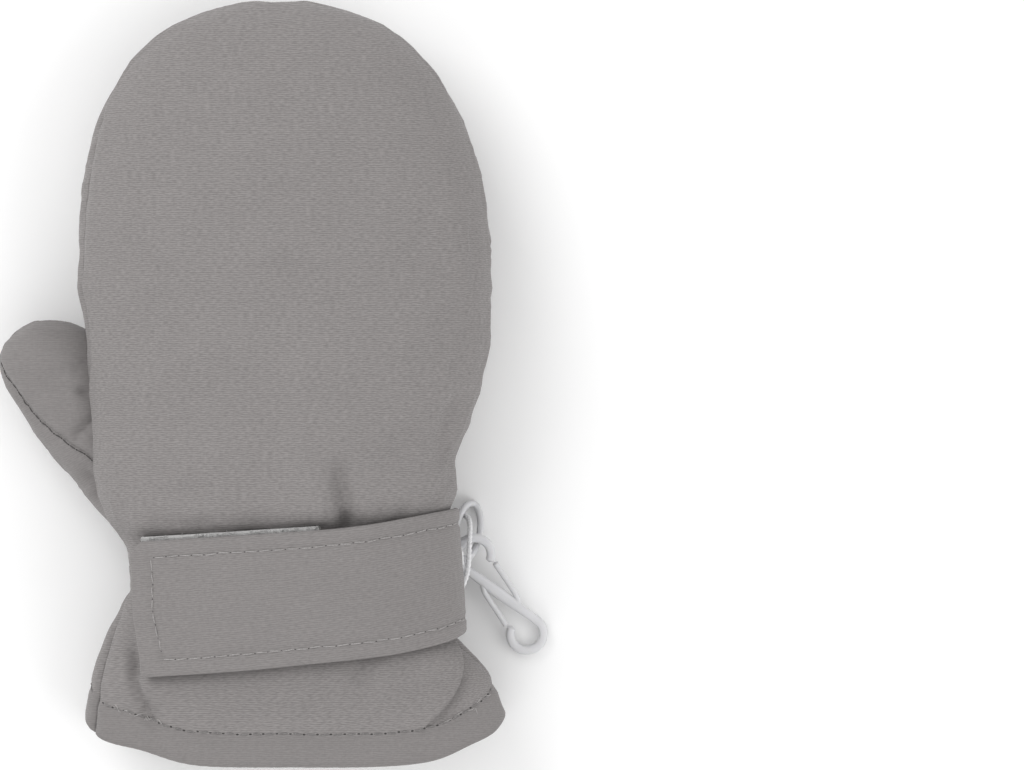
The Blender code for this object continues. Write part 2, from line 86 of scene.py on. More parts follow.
CLIP_CENTRE = np.array((53.4, -45.6, 4.2))
CLIP_HEADING, CLIP_TILT = math.radians(-56.7), math.radians(11.5)
CLIP_EYE_U, CLIP_EYE_RADIUS = 10.65, 3.66
CLIP_NOSE_DEG, CLIP_SPINE_DEG = -145.0, 110.0
CLIP_WIDTH, CLIP_SPINE_WIDTH, CLIP_THICKNESS = 2.0, 2.7, 2.0
GATE_ROUTE = [(-4.5, -1.75), (-3.4, -2.3), (-2.2, -2.68), (-0.4, -2.75), (3.0, -2.75), (6.4, -2.75)]
RING_CENTRE = np.array((46.3, -31.8, 5.15))
RING_ACROSS = np.array((2.57, -0.36, -2.0))
RING_ALONG = np.array((0.84, 5.94, -3.75))
RING_WIRE = 1.5
CORD_WIRE = 1.2
CORD_ROUTE = [(42.7, -46.4, 14.9), (44.7, -44.4, 13.2), (46.0, -41.4, 11.6), (46.5, -38.0, 10.8),
              (46.6, -35.0, 10.2), (46.7, -32.2, 8.9), (46.7, -30.2, 6.6), (46.2, -28.9, 4.1),
              (44.9, -28.2, 2.4), (43.1, -28.3, 3.4), (42.2, -29.8, 6.2), (42.5, -31.7, 9.0),
              (44.0, -34.2, 10.9), (44.9, -37.2, 11.4), (44.6, -40.2, 12.4), (43.7, -42.2, 13.7),
              (42.7, -43.6, 15.0)]


def smooth(pairs, at):
    """Values along (place, value) pairs on a monotone cubic, for an array of places."""
    px = np.array([p[0] for p in pairs], float)
    py = np.array([p[1] for p in pairs], float)
    at = np.clip(np.asarray(at, float), px[0], px[-1])
    step = np.diff(px)
    rise = np.diff(py) / step
    slope = np.empty_like(px)
    slope[0], slope[-1] = rise[0], rise[-1]
    product = rise[:-1] * rise[1:]
    total = rise[:-1] + rise[1:]
    slope[1:-1] = np.where(product > 0, 2 * product / np.where(total == 0, 1, total), 0)
    i = np.clip(np.searchsorted(px, at, side="left") - 1, 0, len(step) - 1)
    t = (at - px[i]) / step[i]
    return ((2 * t**3 - 3 * t**2 + 1) * py[i] + (t**3 - 2 * t**2 + t) * step[i] * slope[i]
            + (3 * t**2 - 2 * t**3) * py[i + 1] + (t**3 - t**2) * step[i] * slope[i + 1])


def rounded(share, power):
    return np.maximum(0.0, 1 - np.minimum(np.abs(share), 1) ** power) ** (1 / power)


def ease(low, high, value):
    """0 below low, 1 above high, smooth between."""
    t = np.clip((np.asarray(value, float) - low) / (high - low), 0, 1)
    return t * t * (3 - 2 * t)


def bump(value, centre, half):
    """1 at the centre, easing to 0 a half width away."""
    return 1 - ease(0, half, np.abs(np.asarray(value, float) - centre))


def turned(angle, power):
    c, s = np.cos(angle), np.sin(angle)
    return np.copysign(np.abs(c) ** (2 / power), c), np.copysign(np.abs(s) ** (2 / power), s)


def hand_points(y, angle, depth=0.0):
    """Points of the hand at this depth under its surface, for arrays of y and angle."""
    y, angle = np.broadcast_arrays(np.asarray(y, float), np.asarray(angle, float))
    beyond = np.where(y > WIDE_Y, (y - WIDE_Y) / (TIP_Y - WIDE_Y - depth), 0.0)
    left = TIP_X + (smooth(LEFT_EDGE, y) + depth - TIP_X) * rounded(beyond, LEFT_ROUND)
    right = TIP_X + (smooth(RIGHT_EDGE, y) - depth - TIP_X) * rounded(beyond, RIGHT_ROUND)
    seam_z = smooth(SEAM_Z, y) - SEAM_DROP_AT_TIP * np.maximum(beyond, 0) ** 2
    on_back = np.sin(angle) >= 0
    ab, ub = turned(angle, BACK_ROUND)
    ap, up_ = turned(angle, PALM_ROUND)
    across, up = np.where(on_back, ab, ap), np.where(on_back, ub, up_)
    height = np.where(on_back, smooth(BACK_RISE, y), seam_z + FLATTENED - smooth(WRIST_LIFT, y))
    height = (height - depth) * rounded(beyond, TIP_FULLNESS)
    bow = HEM_BOW * np.maximum(0.0, (BOW_FROM_Y - y) / (BOW_FROM_Y - HEM_Y)) ** 1.5
    x = (left + right) / 2 + (right - left) / 2 * across
    corners = sum(rise * np.exp(-((x - at) / half) ** 2) for at, rise, half in HEM_CORNERS)
    bow = bow * (1 - (HEM_TRIM + corners) / HEM_BOW)
    return np.stack((x, y - bow * np.sqrt(np.maximum(0.0, 1 - across**4)),
                     np.maximum(seam_z + height * up, depth)), axis=-1)


# ---------------------------------------------------------------------------------------------------------
# Camera, floor and light
# ---------------------------------------------------------------------------------------------------------
VIEW_CENTRE = (0.0559, 0.0, 0.0)
CAMERA_HEIGHT, CAMERA_AIM_Z = 1.35, 0.016
FRAME_WIDTH = 0.22144


def set_stage():
    camera = bpy.data.cameras.new("camera")
    camera.sensor_fit = "HORIZONTAL"
    camera.sensor_width = 36.0
    camera.lens = 36.0 * (CAMERA_HEIGHT - CAMERA_AIM_Z) / FRAME_WIDTH
    camera.clip_start, camera.clip_end = 0.01, 10.0
    holder = bpy.data.objects.new("camera", camera)
    holder.location = (VIEW_CENTRE[0], VIEW_CENTRE[1], CAMERA_HEIGHT)
    bpy.context.scene.collection.objects.link(holder)
    bpy.context.scene.camera = holder

    bpy.ops.mesh.primitive_plane_add(size=6.0, location=(0, 0, -0.0002))
    floor = bpy.context.object
    floor.name = "floor"
    made = bpy.data.materials.new("floor_paper")
    made.use_nodes = True
    nodes, links = made.node_tree.nodes, made.node_tree.links
    shader = nodes["Principled BSDF"]
    shader.inputs["Roughness"].default_value = 0.95
    shader.inputs["Specular IOR Level"].default_value = 0.1
    grain = nodes.new("ShaderNodeTexNoise")
    grain.inputs["Scale"].default_value = 220.0
    ramp = nodes.new("ShaderNodeValToRGB")
    ramp.color_ramp.elements[0].color = (0.88, 0.88, 0.88, 1)
    ramp.color_ramp.elements[1].color = (0.90, 0.90, 0.90, 1)
    links.new(grain.outputs["Fac"], ramp.inputs["Fac"])
    links.new(ramp.outputs["Color"], shader.inputs["Base Color"])
    floor.data.materials.append(made)

    world = bpy.data.worlds.new("studio")
    world.use_nodes = True
    back = world.node_tree.nodes["Background"]
    back.inputs["Color"].default_value = (1.0, 1.0, 1.0, 1)
    back.inputs["Strength"].default_value = 0.85
    bpy.context.scene.world = world
    for name, place, size, power in (("key", (-0.7, 0.75, 0.75), 0.9, 7.5),
                                     ("fill", (0.8, -0.35, 0.7), 0.9, 3.4),
                                     ("front", (-0.3, -0.8, 0.5), 0.8, 1.8)):
        lamp = bpy.data.lights.new(name, "AREA")
        lamp.size = size
        lamp.energy = power
        made = bpy.data.objects.new(name, lamp)
        made.location = place
        made.rotation_euler = (Vector((0.01, 0, 0.01)) - Vector(place)).to_track_quat("-Z", "Y").to_euler()
        bpy.context.scene.collection.objects.link(made)
    bpy.context.scene.view_settings.view_transform = "Standard"


set_stage()


# ---------------------------------------------------------------------------------------------------------
# Mesh helpers
# ---------------------------------------------------------------------------------------------------------
def new_object(name, points, faces, finishes=(), uv=None, slots=None, smooth_shade=True):
    """A mesh object from points in millimetres. uv is one (u, v) for each point, in millimetres."""
    mesh = bpy.data.meshes.new(name)
    mesh.from_pydata((np.asarray(points, float) * MM).tolist(), [], [list(map(int, f)) for f in faces])
    if uv is not None:
        layer = mesh.uv_layers.new(name="cloth")
        index = np.empty(len(mesh.loops), np.int32)
        mesh.loops.foreach_get("vertex_index", index)
        layer.data.foreach_set("uv", (np.asarray(uv, float)[index] * MM).ravel())
    for finish in finishes:
        mesh.materials.append(finish)
    if slots is not None:
        mesh.polygons.foreach_set("material_index", np.asarray(slots, np.int32))
    if smooth_shade:
        mesh.shade_smooth()
    mesh.update()
    made = bpy.data.objects.new(name, mesh)
    bpy.context.scene.collection.objects.link(made)
    return made


def grid_faces(rows, columns, wraps=False, flip=False, offset=0):
    """Quads over a grid stored row after row."""
    r = np.arange(rows - 1)[:, None]
    c = np.arange(columns if wraps else columns - 1)[None, :]
    d = (c + 1) % columns
    quads = np.stack(np.broadcast_arrays(r * columns + c, r * columns + d, (r + 1) * columns + d,
                                         (r + 1) * columns + c), axis=-1).reshape(-1, 4) + offset
    return quads[:, ::-1] if flip else quads


def noise_at(points, scale, seed=0.0, octaves=2):
    """Smooth noise from about -1 to 1 at each of these points, with features about 1/scale mm across."""
    shift = Vector((seed * 17.3, seed * 5.1, seed * 9.7))
    flat = np.asarray(points, float).reshape(-1, 3) * scale
    found = [mnoise.fractal(Vector(p) + shift, 1.0, 2.0, octaves) for p in flat]
    return np.array(found).reshape(np.asarray(points).shape[:-1])


def normals_of(grid, wraps_columns=False):
    """Unit normals of a grid of points."""
    if wraps_columns:
        du = np.roll(grid, -1, axis=1) - np.roll(grid, 1, axis=1)
    else:
        du = np.gradient(grid, axis=1)
    dv = np.gradient(grid, axis=0)
    n = np.cross(du, dv)
    return n / np.maximum(np.linalg.norm(n, axis=-1, keepdims=True), 1e-9)


def path_frames(path, normals):
    """Arc lengths, headings and matching normals along a path."""
    path = np.asarray(path, float)
    heading = np.gradient(path, axis=0)
    heading /= np.maximum(np.linalg.norm(heading, axis=1, keepdims=True), 1e-9)
    normals = np.asarray(normals, float)
    normals = normals - heading * (normals * heading).sum(1, keepdims=True)
    normals /= np.maximum(np.linalg.norm(normals, axis=1, keepdims=True), 1e-9)
    length = np.r_[0, np.cumsum(np.linalg.norm(np.diff(path, axis=0), axis=1))]
    return length, heading, normals


def resampled(path, normals, step):
    """A path and its normals, with even steps of this length."""
    path, normals = np.asarray(path, float), np.asarray(normals, float)
    length = np.r_[0, np.cumsum(np.linalg.norm(np.diff(path, axis=0), axis=1))]
    count = max(2, int(round(length[-1] / step)) + 1)
    at = np.linspace(0, length[-1], count)
    return (np.stack([np.interp(at, length, path[:, k]) for k in range(3)], axis=1),
            np.stack([np.interp(at, length, normals[:, k]) for k in range(3)], axis=1))


def tube(path, radius, sides=8, normals=None, closed=False):
    """Points and faces of a tube along a path, with capped ends."""
    path = np.asarray(path, float)
    n = len(path)
    if closed:
        heading = np.roll(path, -1, axis=0) - np.roll(path, 1, axis=0)
    else:
        heading = np.gradient(path, axis=0)
    heading /= np.maximum(np.linalg.norm(heading, axis=1, keepdims=True), 1e-9)
    if normals is None:
        side = np.array((0.0, 0.0, 1.0)) if abs(heading[0][2]) < 0.9 else np.array((1.0, 0, 0))
        frames = []
        for h in heading:
            side = side - h * side.dot(h)
            side = side / np.linalg.norm(side)
            frames.append(side)
        up = np.array(frames)
    else:
        up = np.asarray(normals, float)
        up = up - heading * (up * heading).sum(1, keepdims=True)
        up /= np.maximum(np.linalg.norm(up, axis=1, keepdims=True), 1e-9)
    across = np.cross(heading, up)
    radius = np.asarray(radius, float)
    radius = radius if radius.ndim == 2 else np.broadcast_to(radius.reshape(-1, 1), (n, 1))
    angle = np.arange(sides) * 2 * np.pi / sides
    points = (path[:, None] + radius[:, :, None] * (up[:, None] * np.cos(angle)[None, :, None]
              + across[:, None] * np.sin(angle)[None, :, None])).reshape(-1, 3)
    faces = grid_faces(n, sides, wraps=True).tolist()
    if closed:
        last = (n - 1) * sides
        faces += [[last + k, last + (k + 1) % sides, (k + 1) % sides, k] for k in range(sides)]
    else:
        faces += [list(range(sides))[::-1], [(n - 1) * sides + k for k in range(sides)]]
    return points, faces


# ---------------------------------------------------------------------------------------------------------
# Materials
# ---------------------------------------------------------------------------------------------------------
class Graph:
    """A small helper that builds one material's node graph."""

    def __init__(self, name, roughness=0.8):
        self.material = bpy.data.materials.new(name)
        self.material.use_nodes = True
        self.tree = self.material.node_tree
        self.shader = self.tree.nodes["Principled BSDF"]
        self.shader.inputs["Roughness"].default_value = roughness

    def add(self, kind, **values):
        node = self.tree.nodes.new("ShaderNode" + kind)
        for key, value in values.items():
            if hasattr(node, key):
                setattr(node, key, value)
            else:
                node.inputs[key.replace("_", " ")].default_value = value
        return node

    def finish(self, **values):
        """Sets the shader's own constants: an input's name has underscores for its spaces."""
        for key, value in values.items():
            self.shader.inputs[key.replace("_", " ")].default_value = value

    def link(self, out, into):
        self.tree.links.new(out, into)
        return self

    def scaled(self, source, scale, shift=(0, 0, 0)):
        node = self.add("Mapping")
        node.inputs["Scale"].default_value = scale
        node.inputs["Location"].default_value = shift
        self.link(source, node.inputs["Vector"])
        return node.outputs["Vector"]

    def noise(self, vector, scale=1.0, detail=2.0, roughness=0.5):
        node = self.add("TexNoise", Scale=scale, Detail=detail, Roughness=roughness)
        self.link(vector, node.inputs["Vector"])
        return node.outputs["Fac"]

    def ramp(self, value, stops):
        node = self.add("ValToRGB")
        for element in list(node.color_ramp.elements)[2:]:
            node.color_ramp.elements.remove(element)
        while len(node.color_ramp.elements) < len(stops):
            node.color_ramp.elements.new(0.5)
        for element, (place, colour) in zip(node.color_ramp.elements, stops):
            element.position = place
            element.color = (*colour, 1.0) if len(colour) == 3 else colour
        self.link(value, node.inputs["Fac"])
        return node.outputs["Color"]

    def maths(self, operation, a, b):
        node = self.add("Math")
        node.operation = operation
        for slot, value in ((0, a), (1, b)):
            if isinstance(value, (int, float)):
                node.inputs[slot].default_value = value
            else:
                self.link(value, node.inputs[slot])
        return node.outputs[0]

    def mixed(self, kind, factor, a, b):
        node = self.add("Mix")
        node.data_type = "RGBA"
        node.blend_type = kind
        node.inputs["Factor"].default_value = factor
        self.link(a, node.inputs[6])
        self.link(b, node.inputs[7])
        return node.outputs[2]

    def bumped(self, height, strength, distance_mm, before=None):
        node = self.add("Bump", Strength=strength, Distance=distance_mm * MM)
        self.link(height, node.inputs["Height"])
        if before is not None:
            self.link(before, node.inputs["Normal"])
        return node.outputs["Normal"]


def shade(colour, factor):
    return tuple(min(1.0, c * factor) for c in colour)


def woven_nylon(name, colour, contrast=0.18, thread_mm=(1.15, 0.23), sheen=0.1, rib_mm=0.46):
    """Matte woven nylon: uneven threads that run across the cloth, longer slubs, and faint patches."""
    g = Graph(name)
    uv = g.add("UVMap", uv_map="cloth").outputs["UV"]
    rib = g.add("TexWave", Scale=math.tau / 20 / (rib_mm * MM), Distortion=3.0)
    rib.wave_type, rib.bands_direction, rib.wave_profile = "BANDS", "Y", "SIN"
    rib.inputs["Detail"].default_value = 1.0
    rib.inputs["Detail Scale"].default_value = 0.55
    g.link(uv, rib.inputs["Vector"])
    uneven = g.noise(g.scaled(uv, (1000 / thread_mm[0], 1000 / thread_mm[1], 1)), detail=1.0)
    threads = g.maths("ADD", g.maths("MULTIPLY", rib.outputs["Fac"], 0.2), g.maths("MULTIPLY", uneven, 0.8))
    slubs = g.noise(g.scaled(uv, (1000 / 9.0, 1000 / 0.5, 1), (3.1, 7.7, 0)), detail=1.0)
    warp = g.noise(g.scaled(uv, (1000 / 0.3, 1000 / 2.2, 1), (5.3, 1.7, 0)), detail=1.0)
    patches = g.noise(g.scaled(uv, (1000 / 17, 1000 / 11, 1), (9.1, 2.7, 0)), detail=3.0)
    body = g.ramp(threads, [(0.33, shade(colour, 1 - contrast)), (0.67, shade(colour, 1 + contrast))])
    tone = g.ramp(slubs, [(0.32, (0.955,) * 3), (0.6, (1.0,) * 3)])
    fine = g.ramp(warp, [(0.30, (0.965,) * 3), (0.6, (1.0,) * 3)])
    cloud = g.ramp(patches, [(0.3, (0.965,) * 3), (0.7, (1.0,) * 3)])
    threads_colour, aged = g.mixed("MULTIPLY", 1.0, body, tone), g.mixed("MULTIPLY", 1.0, fine, cloud)
    g.link(g.mixed("MULTIPLY", 1.0, threads_colour, aged), g.shader.inputs["Base Color"])
    rough = g.ramp(threads, [(0.3, (0.88,) * 3), (0.7, (0.74,) * 3)])
    g.link(rough, g.shader.inputs["Roughness"])
    g.finish(Sheen_Weight=sheen, Sheen_Roughness=0.5, Specular_IOR_Level=0.25)
    normal = g.bumped(threads, 0.4, 0.05)
    normal = g.bumped(warp, 0.25, 0.04, normal)
    g.link(normal, g.shader.inputs["Normal"])
    return g.material


def pile(name, colour):
    """Curly off-white pile: painted shade darkens it where the curls' bump is low, so the curls read
    brighter, and larger clumps are creamier.
    """
    g = Graph(name, 1.0)
    place = g.add("TexCoord").outputs["Object"]
    curls = g.noise(place, 620.0, 4.0, 0.65)
    clumps = g.noise(place, 150.0, 2.0)
    # Painted shade: darker where the curls noise, which is also the bump's height, is low.
    body = g.ramp(curls, [(0.3, shade(colour, 0.80)), (0.62, colour)])
    tone = g.ramp(clumps, [(0.3, (0.93, 0.915, 0.89)), (0.65, (1.0,) * 3)])
    g.link(g.mixed("MULTIPLY", 1.0, body, tone), g.shader.inputs["Base Color"])
    g.finish(Sheen_Weight=0.45, Sheen_Roughness=0.6, Specular_IOR_Level=0.1, Subsurface_Weight=0.12,
             Subsurface_Radius=(0.003, 0.0025, 0.002))
    g.link(g.bumped(curls, 0.8, 0.35), g.shader.inputs["Normal"])
    return g.material


def yarn(name, colour, pitch_mm=0.32, dark=0.72, roughness=0.72):
    """Twisted or braided thread, with fine diagonal plies."""
    g = Graph(name, roughness)
    place = g.add("TexCoord").outputs["Object"]
    plies = g.noise(place, 1000 / pitch_mm, 2.0)
    body = g.ramp(plies, [(0.35, shade(colour, dark)), (0.6, colour)])
    g.link(body, g.shader.inputs["Base Color"])
    g.finish(Sheen_Weight=0.15)
    g.link(g.bumped(plies, 0.6, 0.06), g.shader.inputs["Normal"])
    return g.material


def clip_plastic(name, colour):
    """Milky nylon: a little light passes through it, and its skin is faintly uneven from the mould."""
    g = Graph(name, 0.33)
    place = g.add("TexCoord").outputs["Object"]
    haze = g.noise(place, 260.0, 2.0)
    skin = g.noise(place, 1500.0, 2.0)
    body = g.ramp(haze, [(0.3, shade(colour, 0.955)), (0.7, colour)])
    g.link(body, g.shader.inputs["Base Color"])
    g.link(g.ramp(skin, [(0.3, (0.28,) * 3), (0.7, (0.42,) * 3)]), g.shader.inputs["Roughness"])
    g.finish(Subsurface_Weight=0.35, Subsurface_Radius=(0.0016, 0.0016, 0.0018), Transmission_Weight=0.16,
             IOR=1.5, Coat_Weight=0.12)
    g.link(g.bumped(skin, 0.25, 0.05), g.shader.inputs["Normal"])
    return g.material


def napped_tape(name, colour, pitch_mm, depth_mm, roughness=0.9):
    """Loop tape's brushed nap, or the ground of hook tape."""
    g = Graph(name, roughness)
    place = g.add("TexCoord").outputs["Object"]
    nap = g.noise(place, 1000 / pitch_mm, 4.0, 0.7)
    body = g.ramp(nap, [(0.3, shade(colour, 0.72)), (0.7, shade(colour, 1.12))])
    g.link(body, g.shader.inputs["Base Color"])
    g.finish(Sheen_Weight=0.3)
    g.link(g.bumped(nap, 0.9, depth_mm), g.shader.inputs["Normal"])
    return g.material


NYLON = (0.2210, 0.2084, 0.2050)
cloth_body = woven_nylon("nylon_back", NYLON)
cloth_palm = woven_nylon("nylon_palm", shade(NYLON, 0.985))
# The thumb's cloth is a darker copy of the back's nylon: painted shade for the shadow the hand casts on the
# thumb.
cloth_thumb_painted_shade = woven_nylon("nylon_thumb_painted_shade", shade(NYLON, 0.94), contrast=0.08, thread_mm=(1.3, 0.25))
cloth_strap = woven_nylon("nylon_strap", shade(NYLON, 0.96), contrast=0.12)
# The hem's cloth is a darker copy of the back's nylon: painted shade for the cuff.
cloth_hem_painted_shade = woven_nylon("nylon_hem_painted_shade", shade(NYLON, 0.93), contrast=0.09)
pile_white = pile("pile_off_white", (0.90, 0.868, 0.842))
wadding_white = pile("wadding_white", (0.82, 0.82, 0.80))
thread_light = yarn("thread_light", (0.33, 0.315, 0.31))
thread_grey = yarn("thread_grey", (0.19, 0.18, 0.177))
thread_dark = yarn("thread_dark", (0.06, 0.055, 0.054))
# Near-black discs for the needle holes: painted shade.
needle_hole_painted_shade = yarn("needle_hole_painted_shade", (0.045, 0.042, 0.041), roughness=1.0)
braid_white = yarn("braid_white", (0.80, 0.80, 0.81), pitch_mm=0.2, dark=0.82, roughness=0.6)
plastic_milky = clip_plastic("plastic_milky", (0.70, 0.70, 0.715))
loop_nap = napped_tape("loop_nap", (0.56, 0.555, 0.55), 0.22, 0.25)
hook_ground = napped_tape("hook_ground", (0.30, 0.30, 0.30), 0.5, 0.1, 0.55)
elastic_cloth = woven_nylon("elastic_web", (0.6, 0.6, 0.59), thread_mm=(0.6, 2.4))


# ---------------------------------------------------------------------------------------------------------
# Stitches
# ---------------------------------------------------------------------------------------------------------
def stitches(name, path, normals, body, finishes, pitch=2.9, length=2.2, radius=0.17, wander=0.08, seed=1,
             holes=True, sink=0.04, hole=1.0):
    """A row of lock stitches along a path: each a thread that dips into a needle hole at its ends, and with
    holes on, a dark disc of painted shade stands for each needle hole.
    """
    rng = random.Random(seed)
    path, normals = resampled(path, normals, 0.25)
    arc, heading, normals = path_frames(path, normals)
    side = np.cross(normals, heading)
    points, faces, slots = [], [], []

    def at(s):
        return np.array([np.interp(s, arc, values) for values in path.T])

    def direction(values, s):
        found = np.array([np.interp(s, arc, column) for column in values.T])
        return found / np.linalg.norm(found)

    start = 0.4
    while start + length < arc[-1]:
        off = rng.uniform(-wander, wander)
        slant = rng.uniform(-wander, wander)
        stitch_length = length * rng.uniform(0.93, 1.05)
        line, ups = [], []
        for k in range(7):
            t = k / 6
            s = start + stitch_length * t
            up, across = direction(normals, s), direction(side, s)
            lift = -0.55 * radius + 1.25 * radius * math.sin(math.pi * t) ** 0.55 - sink
            line.append(at(s) + up * lift + across * (off + slant * (t - 0.5) * 2))
            ups.append(up)
        thickness = [radius * (0.62 + 0.38 * math.sin(math.pi * k / 6) ** 0.5) for k in range(7)]
        p, f = tube(line, thickness, 6, ups)
        faces += [[i + len(points) for i in face] for face in f]
        slots += [0] * len(f)
        points += p.tolist()
        # A dark disc at each needle hole between stitches: painted shade for the hole.
        if holes:
            s = start + stitch_length + (pitch - length) * 0.5
            up, across, ahead = direction(normals, s), direction(side, s), direction(heading, s)
            middle = at(s) + up * 0.03 + across * off
            base = len(points)
            ring = [middle + ahead * math.cos(a) * 0.27 * hole + across * math.sin(a) * 0.17 * hole
                    for a in (math.tau * k / 8 for k in range(8))]
            points += [p.tolist() for p in ring] + [(middle + up * 0.05).tolist()]
            faces += [[base + k, base + (k + 1) % 8, base + 8] for k in range(8)]
            slots += [1] * 8
        start += pitch * rng.uniform(0.96, 1.04)
    made = new_object(name, points, faces, finishes, slots=slots)
    if body:
        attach(made, body)
    return made


def thread_tail(name, start, route, body, finish, radius=0.12):
    """A short loose end of thread."""
    line = [np.array(start, float) + np.array(step, float) for step in route]
    points, faces = tube(np.array(line), radius, 6)
    made = new_object(name, points, faces, [finish])
    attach(made, body)
    return made


# ---------------------------------------------------------------------------------------------------------
# The braided cord, its ring and the snap hook
# ---------------------------------------------------------------------------------------------------------
def curve_through(route, steps):
    """Points on a smooth curve through every point of a route."""
    p = np.asarray(route, float)
    padded_route = np.concatenate((p[:1], p, p[-1:]))
    t = (np.arange(steps) / steps)[:, None]
    line = []
    for a, b, c, d in zip(padded_route, padded_route[1:], padded_route[2:], padded_route[3:]):
        line.append(0.5 * (2 * b + (c - a) * t + (2 * a - 5 * b + 4 * c - d) * t**2
                           + (3 * b - a - 3 * c + d) * t**3))
    return np.concatenate(line + [p[-1:]])


def build_cord():
    """Round braid: eight flat strands each way, which cross in small diamonds."""
    line, _ = resampled(curve_through(CORD_ROUTE, 12), curve_through(CORD_ROUTE, 12), 0.12)
    sides, strands, lay = 18, 4, 2.1
    arc = np.arange(len(line))[:, None] * 0.12
    angle = np.arange(sides)[None, :] * math.tau / sides
    over = np.cos(strands * angle + arc * math.tau / lay) * np.cos(strands * angle - arc * math.tau / lay)
    points, faces = tube(line, CORD_WIRE / 2 - 0.05 + 0.13 * over, sides)
    made = new_object("braided_cord", points, faces, [braid_white])
    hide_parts("cord_loop")
    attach(made, "cord")
    return made, line


def build_ring():
    turn = np.arange(84)[:, None] * math.tau / 84
    path = RING_CENTRE + RING_ACROSS * np.cos(turn) + RING_ALONG * np.sin(turn)
    normal = np.cross(RING_ACROSS, RING_ALONG)
    normal /= np.linalg.norm(normal)
    sides = 18
    section = np.arange(sides) * math.tau / sides
    # The mould's parting line stands up a little.
    seam = 0.035 * np.exp(-((np.minimum(section, math.tau - section)) / 0.25) ** 2)
    points, faces = tube(path, np.broadcast_to(RING_WIRE / 2 + seam, (84, sides)), sides,
                         np.broadcast_to(normal, path.shape), closed=True)
    made = new_object("oval_ring", points, faces, [plastic_milky])
    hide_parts("clip_ring")
    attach(made, "cord")
    return made


def clip_points(plane_points):
    """Points of the snap hook's own u, v and thickness, placed in the mitten's frame."""
    level = math.cos(CLIP_TILT)
    along = np.array((math.cos(CLIP_HEADING) * level, math.sin(CLIP_HEADING) * level, -math.sin(CLIP_TILT)))
    across = np.array((-math.sin(CLIP_HEADING), math.cos(CLIP_HEADING), 0.0))
    axes = np.stack((along, across, np.cross(along, across)))
    return CLIP_CENTRE + np.asarray(plane_points) @ axes


def moulded_bar(path, widths, thicknesses, power=3.0, sides=20, caps=(0.7, 0.7)):
    """A bar of soft rectangular section along a path in the u, v plane, with rounded caps."""
    path = np.asarray(path, float)
    heading = np.gradient(path, axis=0)
    heading /= np.linalg.norm(heading, axis=1, keepdims=True)
    rows = []
    angle = np.arange(sides) * math.tau / sides
    across, up = turned(angle, power)

    def row(centre, ahead, width, thickness):
        side = np.array((-ahead[1], ahead[0]))
        return np.column_stack((centre + side * (across * width / 2)[:, None], up * thickness / 2))

    def cap(end, ahead, shares):
        for share in shares:
            scale = max(0.03, math.sin(share * math.pi / 2))
            reach = ahead * (1 - math.cos(math.pi / 2 * (1 - share)) if share else 1)
            rows.append(row(path[end] + heading[end] * reach, heading[end], widths[end] * scale,
                            thicknesses[end] * scale))

    cap(0, -caps[0], (0.0, 0.35, 0.65, 0.88))
    for centre, ahead, width, thickness in zip(path, heading, widths, thicknesses):
        rows.append(row(centre, ahead, width, thickness))
    cap(-1, caps[1], (0.88, 0.65, 0.35, 0.0))
    faces = grid_faces(len(rows), sides, wraps=True).tolist()
    faces += [list(range(sides))[::-1], [(len(rows) - 1) * sides + k for k in range(sides)]]
    return clip_points(np.concatenate(rows)), faces


def build_clip():
    degrees = np.radians(np.linspace(CLIP_NOSE_DEG, CLIP_SPINE_DEG, 60))
    eye = np.column_stack((CLIP_EYE_U + CLIP_EYE_RADIUS * np.cos(degrees), CLIP_EYE_RADIUS * np.sin(degrees)))
    spine = eye[-1] * np.linspace(1, 0, 22)[1:, None]
    half = np.concatenate((eye, spine))
    path = np.concatenate((half, -half[::-1][1:]))
    reach = np.abs(path[:, 0])
    from_nose = np.r_[0, np.cumsum(np.linalg.norm(np.diff(path, axis=0), axis=1))]
    from_nose = np.minimum(from_nose, from_nose[-1] - from_nose)
    widths = CLIP_WIDTH + (CLIP_SPINE_WIDTH - CLIP_WIDTH) * np.maximum(0, 1 - reach / 7.0)
    widths -= 0.25 * np.exp(-from_nose / 1.2)
    thicknesses = CLIP_THICKNESS - 0.2 * np.exp(-from_nose / 1.0)
    points, faces = moulded_bar(path, widths, thicknesses, caps=(0.45, 0.45))
    made = [new_object("snap_hook_frame", points, faces, [plastic_milky])]
    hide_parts("snap_hook")
    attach(made[0], "clip")
    for name, sign in (("lower_gate", 1), ("upper_gate", -1)):
        route = curve_through(GATE_ROUTE, 8)
        run = np.linspace(0, 1, len(route))
        widths = 1.22 + 0.5 * np.exp(-run / 0.16) + 0.12 * np.exp(-(1 - run) / 0.08)
        points, faces = moulded_bar(route * sign, widths, 1.62 + 0 * run, power=2.8, sides=16,
                                    caps=(0.3, 0.35))
        gate = new_object(name + "_tongue", points, faces, [plastic_milky])
        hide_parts(name)
        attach(gate, name)
        made.append(gate)
    return made


cord, cord_line = build_cord()
ring = build_ring()
clip_pieces = build_clip()


# ---------------------------------------------------------------------------------------------------------
# The hand: back and palm panels
# ---------------------------------------------------------------------------------------------------------
BACK_COLUMNS, PALM_COLUMNS, FOLD_COLUMN = 72, 64, 12
FLOOR_GAP, DEEPEST_CREASE = 0.02, 1.9
ROW_STEP, DOME_ROWS = 2.1, 44
LEFT_SEAM_DEG = [(-70.4, 19), (-60, 16), (-50, 11), (-40, 3), (-30, 0), (-12, 2), (8, 10), (45, 13),
                 (66, 7), (82.6, 0)]
CUFF_FOLD_DEG = [(-70.4, 60), (-66.5, 55), (-64.5, 47), (-62.3, 37), (-58.5, 21), (-55.5, 11), (-53, 5)]
HEM_STITCH_Y, HEM_STITCH_END_Y = -66.2, -64.5


